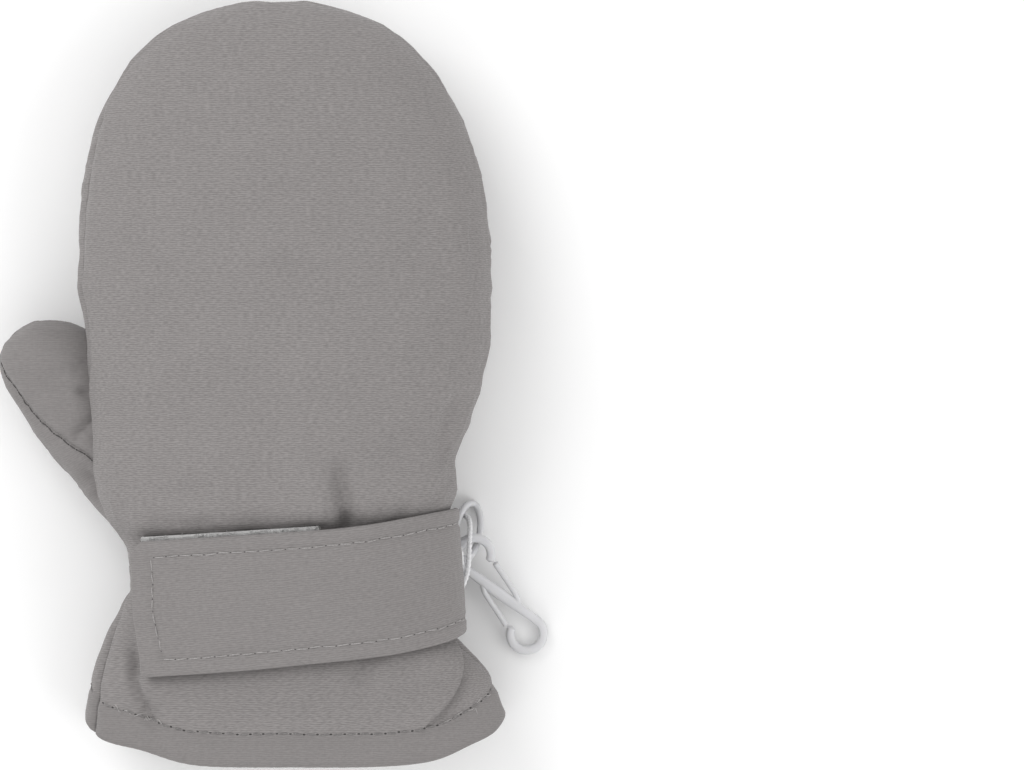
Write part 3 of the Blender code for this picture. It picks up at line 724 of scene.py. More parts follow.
def hand_row_stations():
    straight = np.linspace(HEM_Y, WIDE_Y, int(round((WIDE_Y - HEM_Y) / ROW_STEP)) + 1)
    share = np.sin(np.linspace(0, np.pi / 2, 4000)) ** (2 / LEFT_ROUND)
    outline = np.stack(((TIP_X - LEFT_EDGE[-1][1]) * rounded(share, LEFT_ROUND), (TIP_Y - WIDE_Y) * share),
                       axis=1)
    arc = np.r_[0, np.cumsum(np.linalg.norm(np.diff(outline, axis=0), axis=1))]
    dome = WIDE_Y + (TIP_Y - WIDE_Y) * np.interp(np.linspace(0, arc[-1], DOME_ROWS + 1)[1:], arc, share)
    dome[-1] = TIP_Y - 1e-5
    return np.r_[straight, dome]


def hand_angles(y):
    """The angle of each column at each row: the back's columns from seam to seam, then the palm's."""
    left = np.pi - np.radians(smooth(LEFT_SEAM_DEG, y))[:, None]
    j = np.arange(BACK_COLUMNS + 1)[None, :] / BACK_COLUMNS
    back = left * j
    plain = left * FOLD_COLUMN / BACK_COLUMNS
    weight = (1 - ease(-52, -45, y))[:, None]
    fold = plain + (np.radians(smooth(CUFF_FOLD_DEG, y))[:, None] - plain) * weight
    gap = 0.010 * weight
    near = back * fold / plain
    far = fold + gap + (back - plain) * (left - fold - gap) / (left - plain)
    back = np.where(np.arange(BACK_COLUMNS + 1)[None, :] <= FOLD_COLUMN, near, far)
    k = np.arange(1, PALM_COLUMNS)[None, :] / PALM_COLUMNS
    palm = left + (2 * np.pi - left) * k
    return np.concatenate((back, palm), axis=1)


def halved(grid, wraps):
    """The grid with a new point between each pair, along its first axis, on a smooth curve."""
    if wraps:
        a, b, c, d = (np.roll(grid, s, axis=0) for s in (1, 0, -1, -2))
    else:
        padded_grid = np.concatenate((2 * grid[:1] - grid[1:2], grid, 2 * grid[-1:] - grid[-2:-1]))
        a, b, c, d = padded_grid[:-3], padded_grid[1:-2], padded_grid[2:-1], padded_grid[3:]
    middle = (-a + 9 * b + 9 * c - d) / 16
    out = np.empty((len(grid) + len(middle),) + grid.shape[1:])
    out[0::2], out[1::2] = grid, middle
    return out


SIM_FRAMES, SIM_STIFFNESS = 14, 12.0


def simulated(points, faces, pins, pressure, slack, cap):
    """Points after a short cloth simulation: pinned points stay, and no point moves further than the cap."""
    made = new_object("cloth", points, faces)
    group = made.vertex_groups.new(name="pins")
    for i, weight in enumerate(pins):
        if weight > 0.001:
            group.add([i], float(min(1.0, weight)), "REPLACE")
    cloth = made.modifiers.new("cloth", "CLOTH")
    settings = cloth.settings
    settings.quality = 5
    settings.mass = 0.15
    settings.tension_stiffness = settings.compression_stiffness = SIM_STIFFNESS
    settings.shear_stiffness = SIM_STIFFNESS * 0.5
    settings.bending_stiffness = 0.12
    settings.vertex_group_mass = "pins"
    settings.pin_stiffness = 1.0
    settings.use_pressure = True
    settings.uniform_pressure_force = pressure
    settings.shrink_min = slack
    settings.effector_weights.gravity = 0.0
    cloth.collision_settings.use_collision = False
    cloth.point_cache.frame_start, cloth.point_cache.frame_end = 1, SIM_FRAMES
    scene = bpy.context.scene
    for frame_number in range(1, SIM_FRAMES + 1):
        scene.frame_set(frame_number)
    evaluated = made.evaluated_get(bpy.context.evaluated_depsgraph_get()).to_mesh()
    found = np.empty(len(points) * 3)
    evaluated.vertices.foreach_get("co", found)
    found = found.reshape(-1, 3) / MM
    scene.frame_set(1)
    bpy.data.objects.remove(made)
    start = np.asarray(points, float)
    move = found - start
    far = np.linalg.norm(move, axis=1, keepdims=True)
    return start + move * np.minimum(1.0, cap / np.maximum(far, 1e-9))


GATHERS = [(0.0, 1.0), (1.9, 0.6), (4.1, 0.85)]  # phases and weights of the wrist's gathered folds


def crease(points, line, depth, width, length_fade=4.0):
    """How far a soft crease along this line of (x, y) pushes points in, by their place from above."""
    line = np.asarray(line, float)
    best = np.full(points.shape[:-1], 1e9)
    along = np.zeros(points.shape[:-1])
    run = 0.0
    for a, b in zip(line[:-1], line[1:]):
        step = b - a
        size = np.linalg.norm(step)
        t = np.clip(((points[..., :2] - a) @ step) / size**2, 0, 1)
        gap = np.linalg.norm(points[..., :2] - (a + t[..., None] * step), axis=-1)
        nearer = gap < best
        best = np.where(nearer, gap, best)
        along = np.where(nearer, run + t * size, along)
        run += size
    fade = np.minimum(1, np.minimum(along, run - along) / length_fade)
    return -depth * np.exp(-(best / width) ** 2) * (0.25 + 0.75 * fade)


# Creases on the back: their lines of (x, y), depths and widths. A negative depth is a ridge.
BACK_CREASES = [
    ([(19.0, -16), (19.8, -25), (20.4, -35)], 2.2, 1.6), ([(19.6, -20), (20.3, -34)], 0.5, 4.0),
    ([(12.5, -8), (16.0, -15), (19.4, -22)], 0.45, 2.6), ([(25.0, -20), (24.5, -33)], -0.4, 1.8),
    ([(14.6, -22), (14.8, -33)], -0.45, 2.0), ([(9.0, -20), (9.4, -31)], 0.35, 1.7),
    ([(46.5, -1.0), (42.6, -6.0), (41.0, -11.5), (41.6, -16.0), (44.0, -18.8)], 1.5, 2.0),
    ([(44.0, -18.6), (41.0, -21.5), (37.5, -27.5)], 1.1, 1.5), ([(41.5, -23.0), (40.0, -28.5)], -0.6, 2.2),
    ([(35.0, -21.0), (32.0, -30.0)], 0.45, 1.8), ([(50.6, 31.0), (46.5, 28.0)], 0.5, 1.0),
    ([(22.2, -56), (22.4, -60), (22.8, -65.2)], 1.05, 2.1), ([(27.0, -58), (27.8, -66)], -0.35, 2.0),
    ([(31.0, -57), (32.5, -66)], 0.6, 2.2), ([(13.0, -62), (11.5, -73)], 0.35, 2.0),
    ([(-5.0, -65), (-7.5, -73)], 0.3, 2.0),
    ([(-25.6, -56), (-24.9, -64), (-23.1, -69), (-20.8, -73.4)], 2.3, 1.3),
    ([(-22.4, -63), (-20.6, -68), (-17.6, -72.5)], -0.5, 1.7)]


def bounded_move(start, moved, inward, outward):
    """The moved grid, with each point's move kept between these distances along the start grid's normals."""
    normals = outward_normals(start)
    move = moved - start
    rise = (move * normals).sum(-1, keepdims=True)
    sideways = move - normals * rise
    return start + sideways * 0.5 + normals * np.clip(rise, -inward, outward)


def build_hand():
    """The outer shell's points as a fine grid, with the columns where the two seams run."""
    y = hand_row_stations()
    angles = hand_angles(y)
    rows, columns = angles.shape
    start = hand_points(y[:, None], angles)
    pins = np.zeros((rows, columns))
    near = np.minimum(np.arange(columns), columns - np.arange(columns))
    near = np.minimum(near, np.abs(np.arange(columns) - BACK_COLUMNS))
    pins[:] = np.where(near == 0, 1.0, np.where(near == 1, 0.25, 0.0))[None, :]
    pins[y < -50] = np.maximum(pins[y < -50], 0.9)
    pins[0] = 1.0
    wrist = bump(y, -38.0, 7.0)
    pins = np.maximum(pins, 0.8 * wrist[:, None])
    pins[-3:] = 1.0
    floor_level = start[..., 2] < 0.6
    pins = np.maximum(pins, np.where(floor_level, 0.85, 0.0))
    grid = puffed(start, pins, 0.3, 0.9, pressure=1.6, slack=-0.012, cap=1.1)
    grid = halved(grid, wraps=False)
    grid = np.swapaxes(halved(np.swapaxes(grid, 0, 1), wraps=True), 0, 1)
    fine_y = halved(y[:, None], False)[:, 0]
    column = np.arange(grid.shape[1]) / 2.0
    step = np.linalg.norm(np.roll(grid, -1, axis=1) - grid, axis=-1)
    around = np.concatenate((np.zeros((len(grid), 1)), np.cumsum(step, axis=1)[:, :-1]), axis=1)
    whole = step.sum(axis=1, keepdims=True)
    left_at = around[:, 2 * BACK_COLUMNS][:, None]
    from_right = np.minimum(around, whole - around)
    from_left = np.abs(around - left_at)
    from_seam = np.minimum(from_right, from_left)
    on_back = (column <= BACK_COLUMNS)[None, :]
    push = np.zeros(grid.shape[:2])
    # Both panels dip into the seam and stand up beside it.
    push += -0.75 * np.exp(-(from_seam / 0.85) ** 2) + 0.28 * np.exp(-((from_seam - 3.0) / 2.0) ** 2)
    # Small puckers that the seam draws into the cloth.
    pucker = noise_at(np.stack((np.broadcast_to(fine_y[:, None], push.shape) * 1.0, from_seam * 0.22,
                                np.where(on_back, 0.0, 40.0) + np.zeros(push.shape)), axis=-1), 0.30, 3)
    near_wrist = bump(fine_y, -32.0, 34.0)[:, None]
    push += (0.10 + 0.26 * near_wrist) * pucker * np.exp(-from_seam / 5.0)
    # The wrist's elastic gathers the cloth, most on the palm's side.
    gather = sum(w * np.cos(around / 2.05 + p + 0.8 * np.sin(around / 9.0 + p * 2)) for p, w in GATHERS) / 2.0
    amount = bump(fine_y, -38.0, 17.0)[:, None] * np.where(on_back, 0.42, 0.95)
    push += gather * amount * ease(0, 4, from_seam)
    # Two rows where the elastic is stitched on the palm's side.
    for row_y in (-44.5, -38.0, -31.5):
        push += np.where(on_back, 0.0, -0.55) * np.exp(-((fine_y[:, None] - row_y) / 0.9) ** 2)
    # Slack cloth: broad soft waves, stretched along the hand, and stronger by the wrist.
    slack = 0.35 + 0.65 * bump(fine_y, -26.0, 34.0)[:, None]
    wave = noise_at(grid * np.array((1.0, 0.5, 1.0)), 0.055, 5, 2)
    push += 0.60 * slack * wave * ease(0, 9, from_seam)
    ripple = noise_at(grid * np.array((1.0, 0.35, 1.0)), 0.17, 8, 2)
    push += 0.22 * slack * ripple * ease(0, 6, from_seam) * (fine_y > -60)[:, None]
    for line, depth, width in BACK_CREASES:
        push += np.where(on_back, crease(grid, line, depth, width) * ease(0.6, 5.0, from_seam), 0.0)
    # The strap cinches the wrist, so the cloth stands up along both of its edges.
    above_strap = grid[..., 1] - smooth(STRAP_TOP, grid[..., 0])
    below_strap = smooth(STRAP_BOTTOM, grid[..., 0]) - grid[..., 1]
    by_tape = 1 - ease(14.0, 20.0, grid[..., 0])
    stand = 1.2 * ease(-2.2 + 3.1 * by_tape, 1.2 + 0.9 * by_tape, above_strap) * (
        1 - ease(2.0 + 2.0 * by_tape, 13.0, above_strap))
    stand = stand + 1.9 * ease(-3.0, 0.8, below_strap) * (1 - ease(1.0, 9.0, below_strap))
    push += np.where(on_back, stand * ease(3, 14, from_seam), 0.0)
    # The back's edge folds over the little finger's side of the cuff.
    fold = 2 * FOLD_COLUMN
    folded = (1 - ease(-55.0, -51.0, fine_y)) * ease(-67.5, -63.5, fine_y)
    fold_at = around[:, fold][:, None]
    flap = np.where(around <= fold_at + 1e-6, -1.25 * np.exp(-(fold_at - around) / 7.0), 0.0)
    lip = np.where(around > fold_at + 1e-6, 0.45 * np.exp(-(around - fold_at) / 3.0), 0.0)
    push += np.where(on_back, (flap + lip) * folded[:, None], 0.0)
    # The hem is pressed flat below its stitching.
    at_sides = np.abs(np.cos(np.pi * around / whole * 2)) ** 6
    hem_line = HEM_STITCH_Y + (HEM_STITCH_END_Y - HEM_STITCH_Y) * at_sides
    push += -0.45 * np.exp(-((fine_y[:, None] - hem_line) / 0.75) ** 2)
    above = np.clip(grid[..., 2] / 2.5, 0, 1)
    push = np.maximum(np.where(on_back, push, push * (0.25 + 0.75 * above)), -DEEPEST_CREASE)
    grid = grid + outward_normals(grid) * push[..., None]
    grid[..., 2] = np.maximum(grid[..., 2], FLOOR_GAP)
    return {"grid": grid, "y": fine_y, "around": around, "whole": whole, "left": 2 * BACK_COLUMNS,
            "normals": outward_normals(grid), "hem_line": hem_line}


def outward_normals(grid):
    """A ring grid's normals, turned away from each ring's middle, or near the tip from a ring inside."""
    normals = normals_of(grid, wraps_columns=True)
    middle = grid.mean(axis=1, keepdims=True)
    steady = len(grid) * 3 // 4
    middle[steady:] = middle[steady]
    facing = ((grid - middle) * normals).sum(axis=-1)
    facing[:steady] = facing[:steady].sum(axis=1, keepdims=True)
    normals = normals * np.where(facing < 0, -1.0, 1.0)[..., None]
    normals[-1] = normals[-2]
    return normals


def puffed(start, pins, slimmer, outward, pressure, slack, cap, inward=0.3):
    """A ring grid with a closed tip, blown up as cloth from a slightly slimmer shape."""
    rows, columns = start.shape[:2]
    slim = np.where(pins[..., None] > 0.5, start, start - outward_normals(start) * slimmer)
    points = np.concatenate((slim.reshape(-1, 3), slim[-1].mean(axis=0, keepdims=True)))
    faces = grid_faces(rows, columns, wraps=True).tolist()
    last = (rows - 1) * columns
    faces += [[last + c, last + (c + 1) % columns, rows * columns] for c in range(columns)]
    found = simulated(points, faces, np.r_[pins.ravel(), 1.0], pressure, slack, cap)
    return bounded_move(start, found[:-1].reshape(rows, columns, 3), inward, outward)


def panel(name, hand, first, last, finish, nodes):
    """One panel of the hand, from seam to seam: its edges tuck into the seams and its hem turns in."""
    grid, around, whole = hand["grid"], hand["around"], hand["whole"]
    columns = [c % grid.shape[1] for c in range(first, last + 1)]
    part = grid[:, columns]
    part_normals = hand["normals"][:, columns]
    u = around[:, columns].copy()
    if last >= grid.shape[1]:
        u[:, -1] = whole[:, 0]
    tuck = []
    for edge, inner in ((0, 1), (-1, -2)):
        away = part[:, edge] - part[:, inner]
        away /= np.maximum(np.linalg.norm(away, axis=1, keepdims=True), 1e-9)
        tuck.append(part[:, edge] - part_normals[:, edge] * 1.3 - away * 0.25)
    part = np.concatenate((tuck[0][:, None], part, tuck[1][:, None]), axis=1)
    u = np.concatenate((u[:, :1] - 1.2, u, u[:, -1:] + 1.2), axis=1)
    v = part[..., 1].copy()
    # The hem turns inwards round a soft edge.
    normals = np.concatenate((part_normals[:, :1], part_normals, part_normals[:, -1:]), axis=1)
    out = part[0] - part[1]
    out /= np.maximum(np.linalg.norm(out, axis=1, keepdims=True), 1e-9)
    turned_rows = [part[0] + out * a - normals[0] * b
                   for a, b in ((-0.1, 1.75), (0.32, 1.3), (0.42, 0.8), (0.3, 0.3))]
    part = np.concatenate((np.array(turned_rows), part), axis=0)
    u = np.concatenate((np.repeat(u[:1], 4, axis=0), u), axis=0)
    v = np.concatenate((v[:1] - np.array((2.1, 1.5, 0.9, 0.4))[:, None], v), axis=0)
    u = u - u[:, [int(np.argmax(part[len(part) // 2, :, 2]))]]
    rows, cols = part.shape[:2]
    faces = grid_faces(rows, cols, flip=True).tolist()
    tip = rows * cols
    last_row = (rows - 1) * cols
    faces += [[last_row + c + 1, last_row + c, tip] for c in range(cols - 1)]
    points = np.concatenate((part.reshape(-1, 3), part[-1].mean(axis=0, keepdims=True)))
    uv = np.concatenate((np.stack((u, v), axis=-1).reshape(-1, 2), [[u[-1].mean(), v[-1].mean() + 1]]))
    hem_line = hand["hem_line"][0, columns]
    hem_line = np.concatenate((hem_line[:1], hem_line, hem_line[-1:]))
    rows_y = np.r_[[HEM_Y] * 4, hand["y"]]
    # The faces below the hem's stitching take the hem's darker cloth, which is painted shade on the cuff.
    in_hem = ((rows_y[:-1] + rows_y[1:])[:, None] / 2 < hem_line[None, :-1]).ravel()
    slots = np.r_[in_hem.astype(int), np.zeros(len(faces) - len(in_hem), int)]
    made = new_object(name, points, faces, [finish, cloth_hem_painted_shade], uv=uv, slots=slots)
    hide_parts(*nodes)
    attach(made, "hand")
    return made


def surface_path(hand, rows_and_columns):
    """Points and normals of the hand's surface at fractional (row y, column) places."""
    grid, normals, fine_y = hand["grid"], hand["normals"], hand["y"]
    found, ups = [], []
    for y, c in rows_and_columns:
        r = float(np.interp(y, fine_y, np.arange(len(fine_y))))
        r0, c0 = int(r), int(math.floor(c))
        fr, fc = r - r0, c - c0
        r1, n = min(r0 + 1, len(fine_y) - 1), grid.shape[1]
        for source, into in ((grid, found), (normals, ups)):
            a = source[r0, c0 % n] * (1 - fc) + source[r0, (c0 + 1) % n] * fc
            b = source[r1, c0 % n] * (1 - fc) + source[r1, (c0 + 1) % n] * fc
            into.append(a * (1 - fr) + b * fr)
    return np.array(found), np.array(ups)


hand = build_hand()
COLUMNS = hand["grid"].shape[1]
back_panel = panel("back_panel", hand, 0, hand["left"], cloth_body, ["back_shell"])
palm_panel = panel("palm_panel", hand, hand["left"], COLUMNS, cloth_palm, ["palm_shell"])


def build_hem_stitches():
    """The hem's stitching, all round: light thread at the corners, and along the middle grey thread with dark
    discs of painted shade for its needle holes.
    """
    inset = 3
    for name, first, last, seed in (("hem_stitches_back", inset, hand["left"] - inset, 3),
                                    ("hem_stitches_palm", hand["left"] + inset, COLUMNS - inset, 4)):
        places = []
        for c in np.arange(first, last, 1.0):
            places.append((hand["hem_line"][0, int(c)], c))
        path, ups = surface_path(hand, places)
        made = stitches(name, path, ups, "hand", [thread_grey, needle_hole_painted_shade], pitch=2.9, length=2.1,
                        radius=0.19, wander=0.16, seed=seed, hole=1.15)
    # A second run of thread where the stitching starts and ends.
    for name, first, last in (("hem_restitch_left", hand["left"] - 44, hand["left"] - 8),
                              ("hem_restitch_right", 5, 24)):
        places = [(hand["hem_line"][0, int(c)] + 0.35 * math.sin(c * 0.8), c)
                  for c in np.arange(first, last, 1.0)]
        path, ups = surface_path(hand, places)
        stitches(name, path, ups, "hand", [thread_light, needle_hole_painted_shade], pitch=3.1, length=2.5, radius=0.15,
                 wander=0.3, seed=9, holes=False)
    start, _ = surface_path(hand, [(hand["hem_line"][0, 14] - 0.3, 13)])
    for i, turn in enumerate(((0.5, -1.5, 0.3), (-0.6, -1.7, 0.25))):
        thread_tail(f"thread_tail_right_{i}", start[0], [(0, 0, 0.05), (turn[0] * 0.4, turn[1] * 0.45, 0.35),
                                                         (turn[0], turn[1], turn[2])], "hand", thread_light)
    start, _ = surface_path(hand, [(hand["hem_line"][0, hand["left"] - 30] - 0.2, hand["left"] - 34)])
    for i, turn in enumerate(((0.9, -1.3, 0.3), (-0.5, -1.1, 0.3))):
        thread_tail(f"thread_tail_left_{i}", start[0], [(0, 0, 0.05), (turn[0] * 0.4, turn[1] * 0.45, 0.3),
                                                        (turn[0], turn[1], turn[2])], "hand", thread_light)
    # The side seam is caught down across the hem.
    places = [(y, hand["left"] - 1.5) for y in np.linspace(-70.2, -62.0, 12)]
    path, ups = surface_path(hand, places)
    stitches("side_seam_stitches", path, ups, "hand", [thread_dark, needle_hole_painted_shade], pitch=2.0, length=1.4,
             radius=0.14, seed=11)


build_hem_stitches()


# ---------------------------------------------------------------------------------------------------------
# The thumb
# ---------------------------------------------------------------------------------------------------------
def thumb_points(along, angle, depth=0.0):
    along, angle = np.broadcast_arrays(np.asarray(along, float), np.asarray(angle, float))
    reach = THUMB_END - THUMB_WIDE - depth
    beyond = np.where(along > THUMB_WIDE, (along - THUMB_WIDE) / reach, 0.0)
    across, up = turned(angle, THUMB_ROUND)
    width = np.where(across >= 0, smooth(THUMB_RIGHT, along), smooth(THUMB_LEFT, along)) - depth
    right_round, left_round = THUMB_TIP_ROUND
    taper = rounded(beyond, left_round + (right_round - left_round) * ease(-0.8, 0.8, across))
    height = (smooth(THUMB_HALF_HEIGHT, along) - depth) * taper
    return (THUMB_ROOT + THUMB_AXIS * along[..., None] + THUMB_ACROSS * (width * taper * across)[..., None]
            + np.array((0, 0, 1.0)) * (height * up)[..., None])


THUMB_SEAM = [(0, 76), (10, 87), (15.7, 99), (20, 114), (24.5, 127), (30, 139), (37, 146), (44, 168),
              (48, 178)]


def build_thumb():
    """The thumb's upper panel and its palm panel, which meet at a stitched seam."""
    along = np.r_[np.linspace(-9, 0, 9)[:-1], np.linspace(0, THUMB_WIDE, 40),
                  THUMB_WIDE + (THUMB_END - THUMB_WIDE) * np.sin(np.linspace(0, np.pi / 2, 18)[1:])]
    along[-1] = THUMB_END - 0.002
    seam = np.radians(smooth(THUMB_SEAM, along))[:, None]
    upper_columns, palm_columns = 44, 70
    upper = seam * np.arange(upper_columns + 1)[None, :] / upper_columns - np.radians(20.0) * (
        1 - np.arange(upper_columns + 1)[None, :] / upper_columns)
    palm = seam + (2 * np.pi - np.radians(20.0) - seam) * np.arange(1, palm_columns)[None, :] / palm_columns
    angles = np.concatenate((upper, palm), axis=1)
    start = thumb_points(along[:, None], angles)
    rows, columns = angles.shape
    pins = np.zeros((rows, columns))
    pins[:, [0, upper_columns]] = 1.0
    pins[along < 9] = 1.0
    pins[-2:] = 1.0
    pins = np.maximum(pins, np.where(start[..., 2] < 1.0, 0.7, 0.0))
    grid = puffed(start, pins, 0.5, 0.8, pressure=1.8, slack=-0.02, cap=1.0, inward=0.4)
    step = np.linalg.norm(np.roll(grid, -1, axis=1) - grid, axis=-1)
    around = np.concatenate((np.zeros((rows, 1)), np.cumsum(step, axis=1)[:, :-1]), axis=1)
    whole = step.sum(axis=1, keepdims=True)
    from_seam = np.abs(around - around[:, upper_columns][:, None])
    from_other = np.minimum(around, whole - around)
    near = np.minimum(from_seam, from_other)
    push = -0.6 * np.exp(-(near / 0.7) ** 2) + 0.25 * np.exp(-((near - 2.4) / 1.5) ** 2)
    puckers = noise_at(np.stack((along[:, None] + 0 * near, near * 0.25, 0 * near), -1), 0.33, 4)
    push += 0.30 * puckers * np.exp(-near / 4.0)
    push += 0.45 * noise_at(grid, 0.085, 12, 2) * ease(0, 5, near)
    creases = [([(-38.9, -11.9), (-37.2, -10.0), (-35.2, -8.0), (-33.5, -6.0)], 1.25, 0.75),
               ([(-38.6, -0.9), (-36.6, -1.5), (-34.0, -2.0)], 1.1, 0.85),
               ([(-45.5, -1.0), (-42.0, 1.0), (-37.0, 4.0)], 0.3, 2.4),
               ([(-36.4, -18.0), (-34.4, -21.5), (-32.6, -26.0)], 1.5, 1.5)]
    normals = outward_normals(grid)
    faces_up = normals[..., 2] > 0.1
    for line, depth, width in creases:
        push += np.where(faces_up, crease(grid, line, depth, width, 2.0), 0.0)
    push *= ease(0, 1.0, np.abs(along - THUMB_END))[:, None]
    grid = grid + normals * push[..., None]
    grid[..., 2] = np.maximum(grid[..., 2], FLOOR_GAP)
    normals = outward_normals(grid)
    made = []
    for name, first, last, finish, nodes in (
            ("thumb_upper_panel", 0, upper_columns, cloth_thumb_painted_shade, ["thumb_upper_shell"]),
            ("thumb_palm_panel", upper_columns, columns, cloth_thumb_painted_shade, ["thumb_palm_shell"])):
        cols = [c % columns for c in range(first, last + 1)]
        part, ups, u = grid[:, cols], normals[:, cols], around[:, cols].copy()
        if last == columns:
            u[:, -1] = whole[:, 0]
        part = np.concatenate((part[:, :1] - ups[:, :1] * 1.1, part, part[:, -1:] - ups[:, -1:] * 1.1),
                              axis=1)
        u = np.concatenate((u[:, :1] - 1.1, u, u[:, -1:] + 1.1), axis=1)
        v = np.broadcast_to(along[:, None], u.shape)
        r, c = part.shape[:2]
        faces = grid_faces(r, c, flip=True).tolist()
        faces += [[(r - 1) * c + k + 1, (r - 1) * c + k, r * c] for k in range(c - 1)]
        points = np.concatenate((part.reshape(-1, 3), part[-1].mean(axis=0, keepdims=True)))
        # The weave runs across the mitten here too, so it is laid out from above.
        flat = np.concatenate((np.stack((u, v), -1).reshape(-1, 2), [[u[-1].mean(), THUMB_END]]))
        if name == "thumb_upper_panel":
            flat = np.stack((points[:, 0], points[:, 1]), axis=1)
        piece = new_object(name, points, faces, [finish], uv=flat)
        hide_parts(*nodes)
        made.append(piece)
    rows_used = [r for r in range(rows) if 12 < along[r] < 44]
    path = grid[rows_used, upper_columns + 1]
    ups = normals[rows_used, upper_columns + 1]
    seam_stitches = stitches("thumb_seam_stitches", path, ups, None, [thread_dark, needle_hole_painted_shade], pitch=2.1,
                             length=1.5, radius=0.15, wander=0.05, seed=21, sink=0.0)
    made.append(seam_stitches)
    return made


thumb_pieces = build_thumb()
for piece in thumb_pieces:
    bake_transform(piece)


# ---------------------------------------------------------------------------------------------------------
# Inside the hand: hem facing, elastic, wadding and pile lining
# ---------------------------------------------------------------------------------------------------------
def rows_at(first_y, last_y, depth, step, dome_rows=26):
    """Stations along the hand for a layer at this depth. It closes over the tip when last_y is None."""
    if last_y is not None:
        return np.linspace(first_y, last_y, max(2, int(round((last_y - first_y) / step)) + 1))
    straight = np.linspace(first_y, WIDE_Y, int(round((WIDE_Y - first_y) / step)) + 1)
    turn = np.linspace(0, np.pi / 2, dome_rows + 1)[1:]
    dome = WIDE_Y + (TIP_Y - depth - WIDE_Y) * np.sin(turn)
    dome[-1] -= 0.002
    return np.r_[straight, dome]


def closed_layer(outer, inner, wraps):
    """Points and faces of the closed form between two grids of the same size."""
    rows, columns = outer.shape[:2]
    count = rows * columns
    faces = grid_faces(rows, columns, wraps).tolist() + grid_faces(rows, columns, wraps, True, count).tolist()
    span = columns if wraps else columns - 1
    for r in (0, rows - 1):
        for c in range(span):
            d = (c + 1) % columns
            quad = [r * columns + c, r * columns + d, count + r * columns + d, count + r * columns + c]
            faces.append(quad[::-1] if r == 0 else quad)
    if not wraps:
        for c in (0, columns - 1):
            for r in range(rows - 1):
                near, far = r * columns + c, (r + 1) * columns + c
                quad = [near, far, count + far, count + near]
                faces.append(quad if c == 0 else quad[::-1])
    return np.concatenate((outer.reshape(-1, 3), inner.reshape(-1, 3))), faces


def cloth_uv(grid):
    """Lengths across and along a grid, for the weave."""
    across = np.linalg.norm(np.diff(grid, axis=1), axis=-1)
    along = np.linalg.norm(np.diff(grid, axis=0), axis=-1)
    u = np.concatenate((np.zeros((len(grid), 1)), np.cumsum(across, axis=1)), axis=1)
    v = np.concatenate((np.zeros((1, grid.shape[1])), np.cumsum(along, axis=0)), axis=0)
    return np.stack((u, v), axis=-1).reshape(-1, 2)


def build_hem_facing():
    """The hem's turned-in facing, sewn to the lining by its upper edge."""
    angles = np.arange(220)[None, :] * math.tau / 220
    y = np.linspace(HEM_Y + 0.9, HEM_BAND_TOP_Y + 1.6, 14)[:, None]
    share = (y - y[0]) / (y[-1] - y[0])
    belly = np.sin(np.pi * share)
    inner_depth = 2.35 + 0.75 * belly ** 0.5 + 0.22 * noise_at(
        np.stack(np.broadcast_arrays(np.cos(angles) * 30, np.sin(angles) * 20, y), -1), 0.16, 31)
    outer = hand_points(y, angles, 1.55)
    inner = hand_points(y + 0.4 * (share - 0.5), angles, inner_depth)
    points, faces = closed_layer(outer, inner, wraps=True)
    uv = np.concatenate((cloth_uv(outer), cloth_uv(inner)))
    # The facing takes the hem's darker cloth, painted shade.
    made = new_object("hem_facing", points, faces, [cloth_hem_painted_shade], uv=uv)
    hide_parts("cuff_hem")
    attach(made, "hand")
    row = np.arange(0, 220)
    path = hand_points(HEM_BAND_TOP_Y + 0.2, np.r_[row, 0] * math.tau / 220, 3.15)
    middle = path.mean(axis=0)
    inward = middle - path
    inward[:, 1] = 0
    stitches("facing_stitches", path, inward, "hand", [thread_grey, needle_hole_painted_shade], pitch=3.0, length=2.2,
             radius=0.16, seed=33)


def build_elastic():
    """A flat elastic web round the wrist, gathered along with the cloth."""
    count = 180
    angles = np.arange(count)[None, :] * math.tau / count
    y = np.linspace(-45.4, -30.6, 9)[:, None]
    wave = 0.22 * np.cos(angles * 37) + 0 * y
    outer, inner = hand_points(y, angles, 1.75 - 0.4 * wave), hand_points(y, angles, 2.5 - 0.4 * wave)
    points, faces = closed_layer(outer, inner, wraps=True)
    made = new_object("elastic_web", points, faces, [elastic_cloth],
                      uv=np.concatenate((cloth_uv(outer), cloth_uv(inner))))
    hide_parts("wrist_elastic")
    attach(made, "hand")


def half_angles(back, columns, gap=0.012):
    start = 0.0 if back else math.pi
    return start + gap + (math.pi - 2 * gap) * np.arange(columns)[None, :] / (columns - 1)


def build_wadding():
    for name, back in (("back", True), ("palm", False)):
        angles = half_angles(back, 46)
        near_seam = np.minimum(angles - angles[0, 0], angles[0, -1] - angles)
        thin = 1 - np.exp(-(near_seam / 0.10) ** 2)
        grids = []
        for depth, sign in ((2.45, 1.0), (3.3, -1.0)):
            y = rows_at(WADDING_FROM_Y, None, depth, 2.4, 16)[:, None]
            base = hand_points(y, angles, depth)
            lumps = noise_at(base, 0.12, 40 + sign, 3)
            grids.append(hand_points(y, angles, depth + sign * (0.2 * (1 - thin) + 0.12 * lumps * thin)))
        points, faces = closed_layer(*grids, wraps=False)
        made = new_object(name + "_batting", points, faces, [wadding_white])
        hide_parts(name + "_wadding")
        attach(made, "hand")


def curls(points, size, seed):
    """How far curly pile stands up at these points: rounded nubs, from about 0 to 1."""
    shift = Vector((seed * 3.7, seed * 1.9, seed * 2.3))
    flat = np.asarray(points).reshape(-1, 3) / size
    out = []
    for p in flat:
        place = Vector(p) + shift
        bend = mnoise.noise(place * 0.7)
        near = mnoise.voronoi(place + Vector((bend, -bend, bend * 0.5)) * 0.6)[0]
        out.append(max(0.0, 1.0 - near[0] * 1.15))
    return np.array(out).reshape(np.asarray(points).shape[:-1])


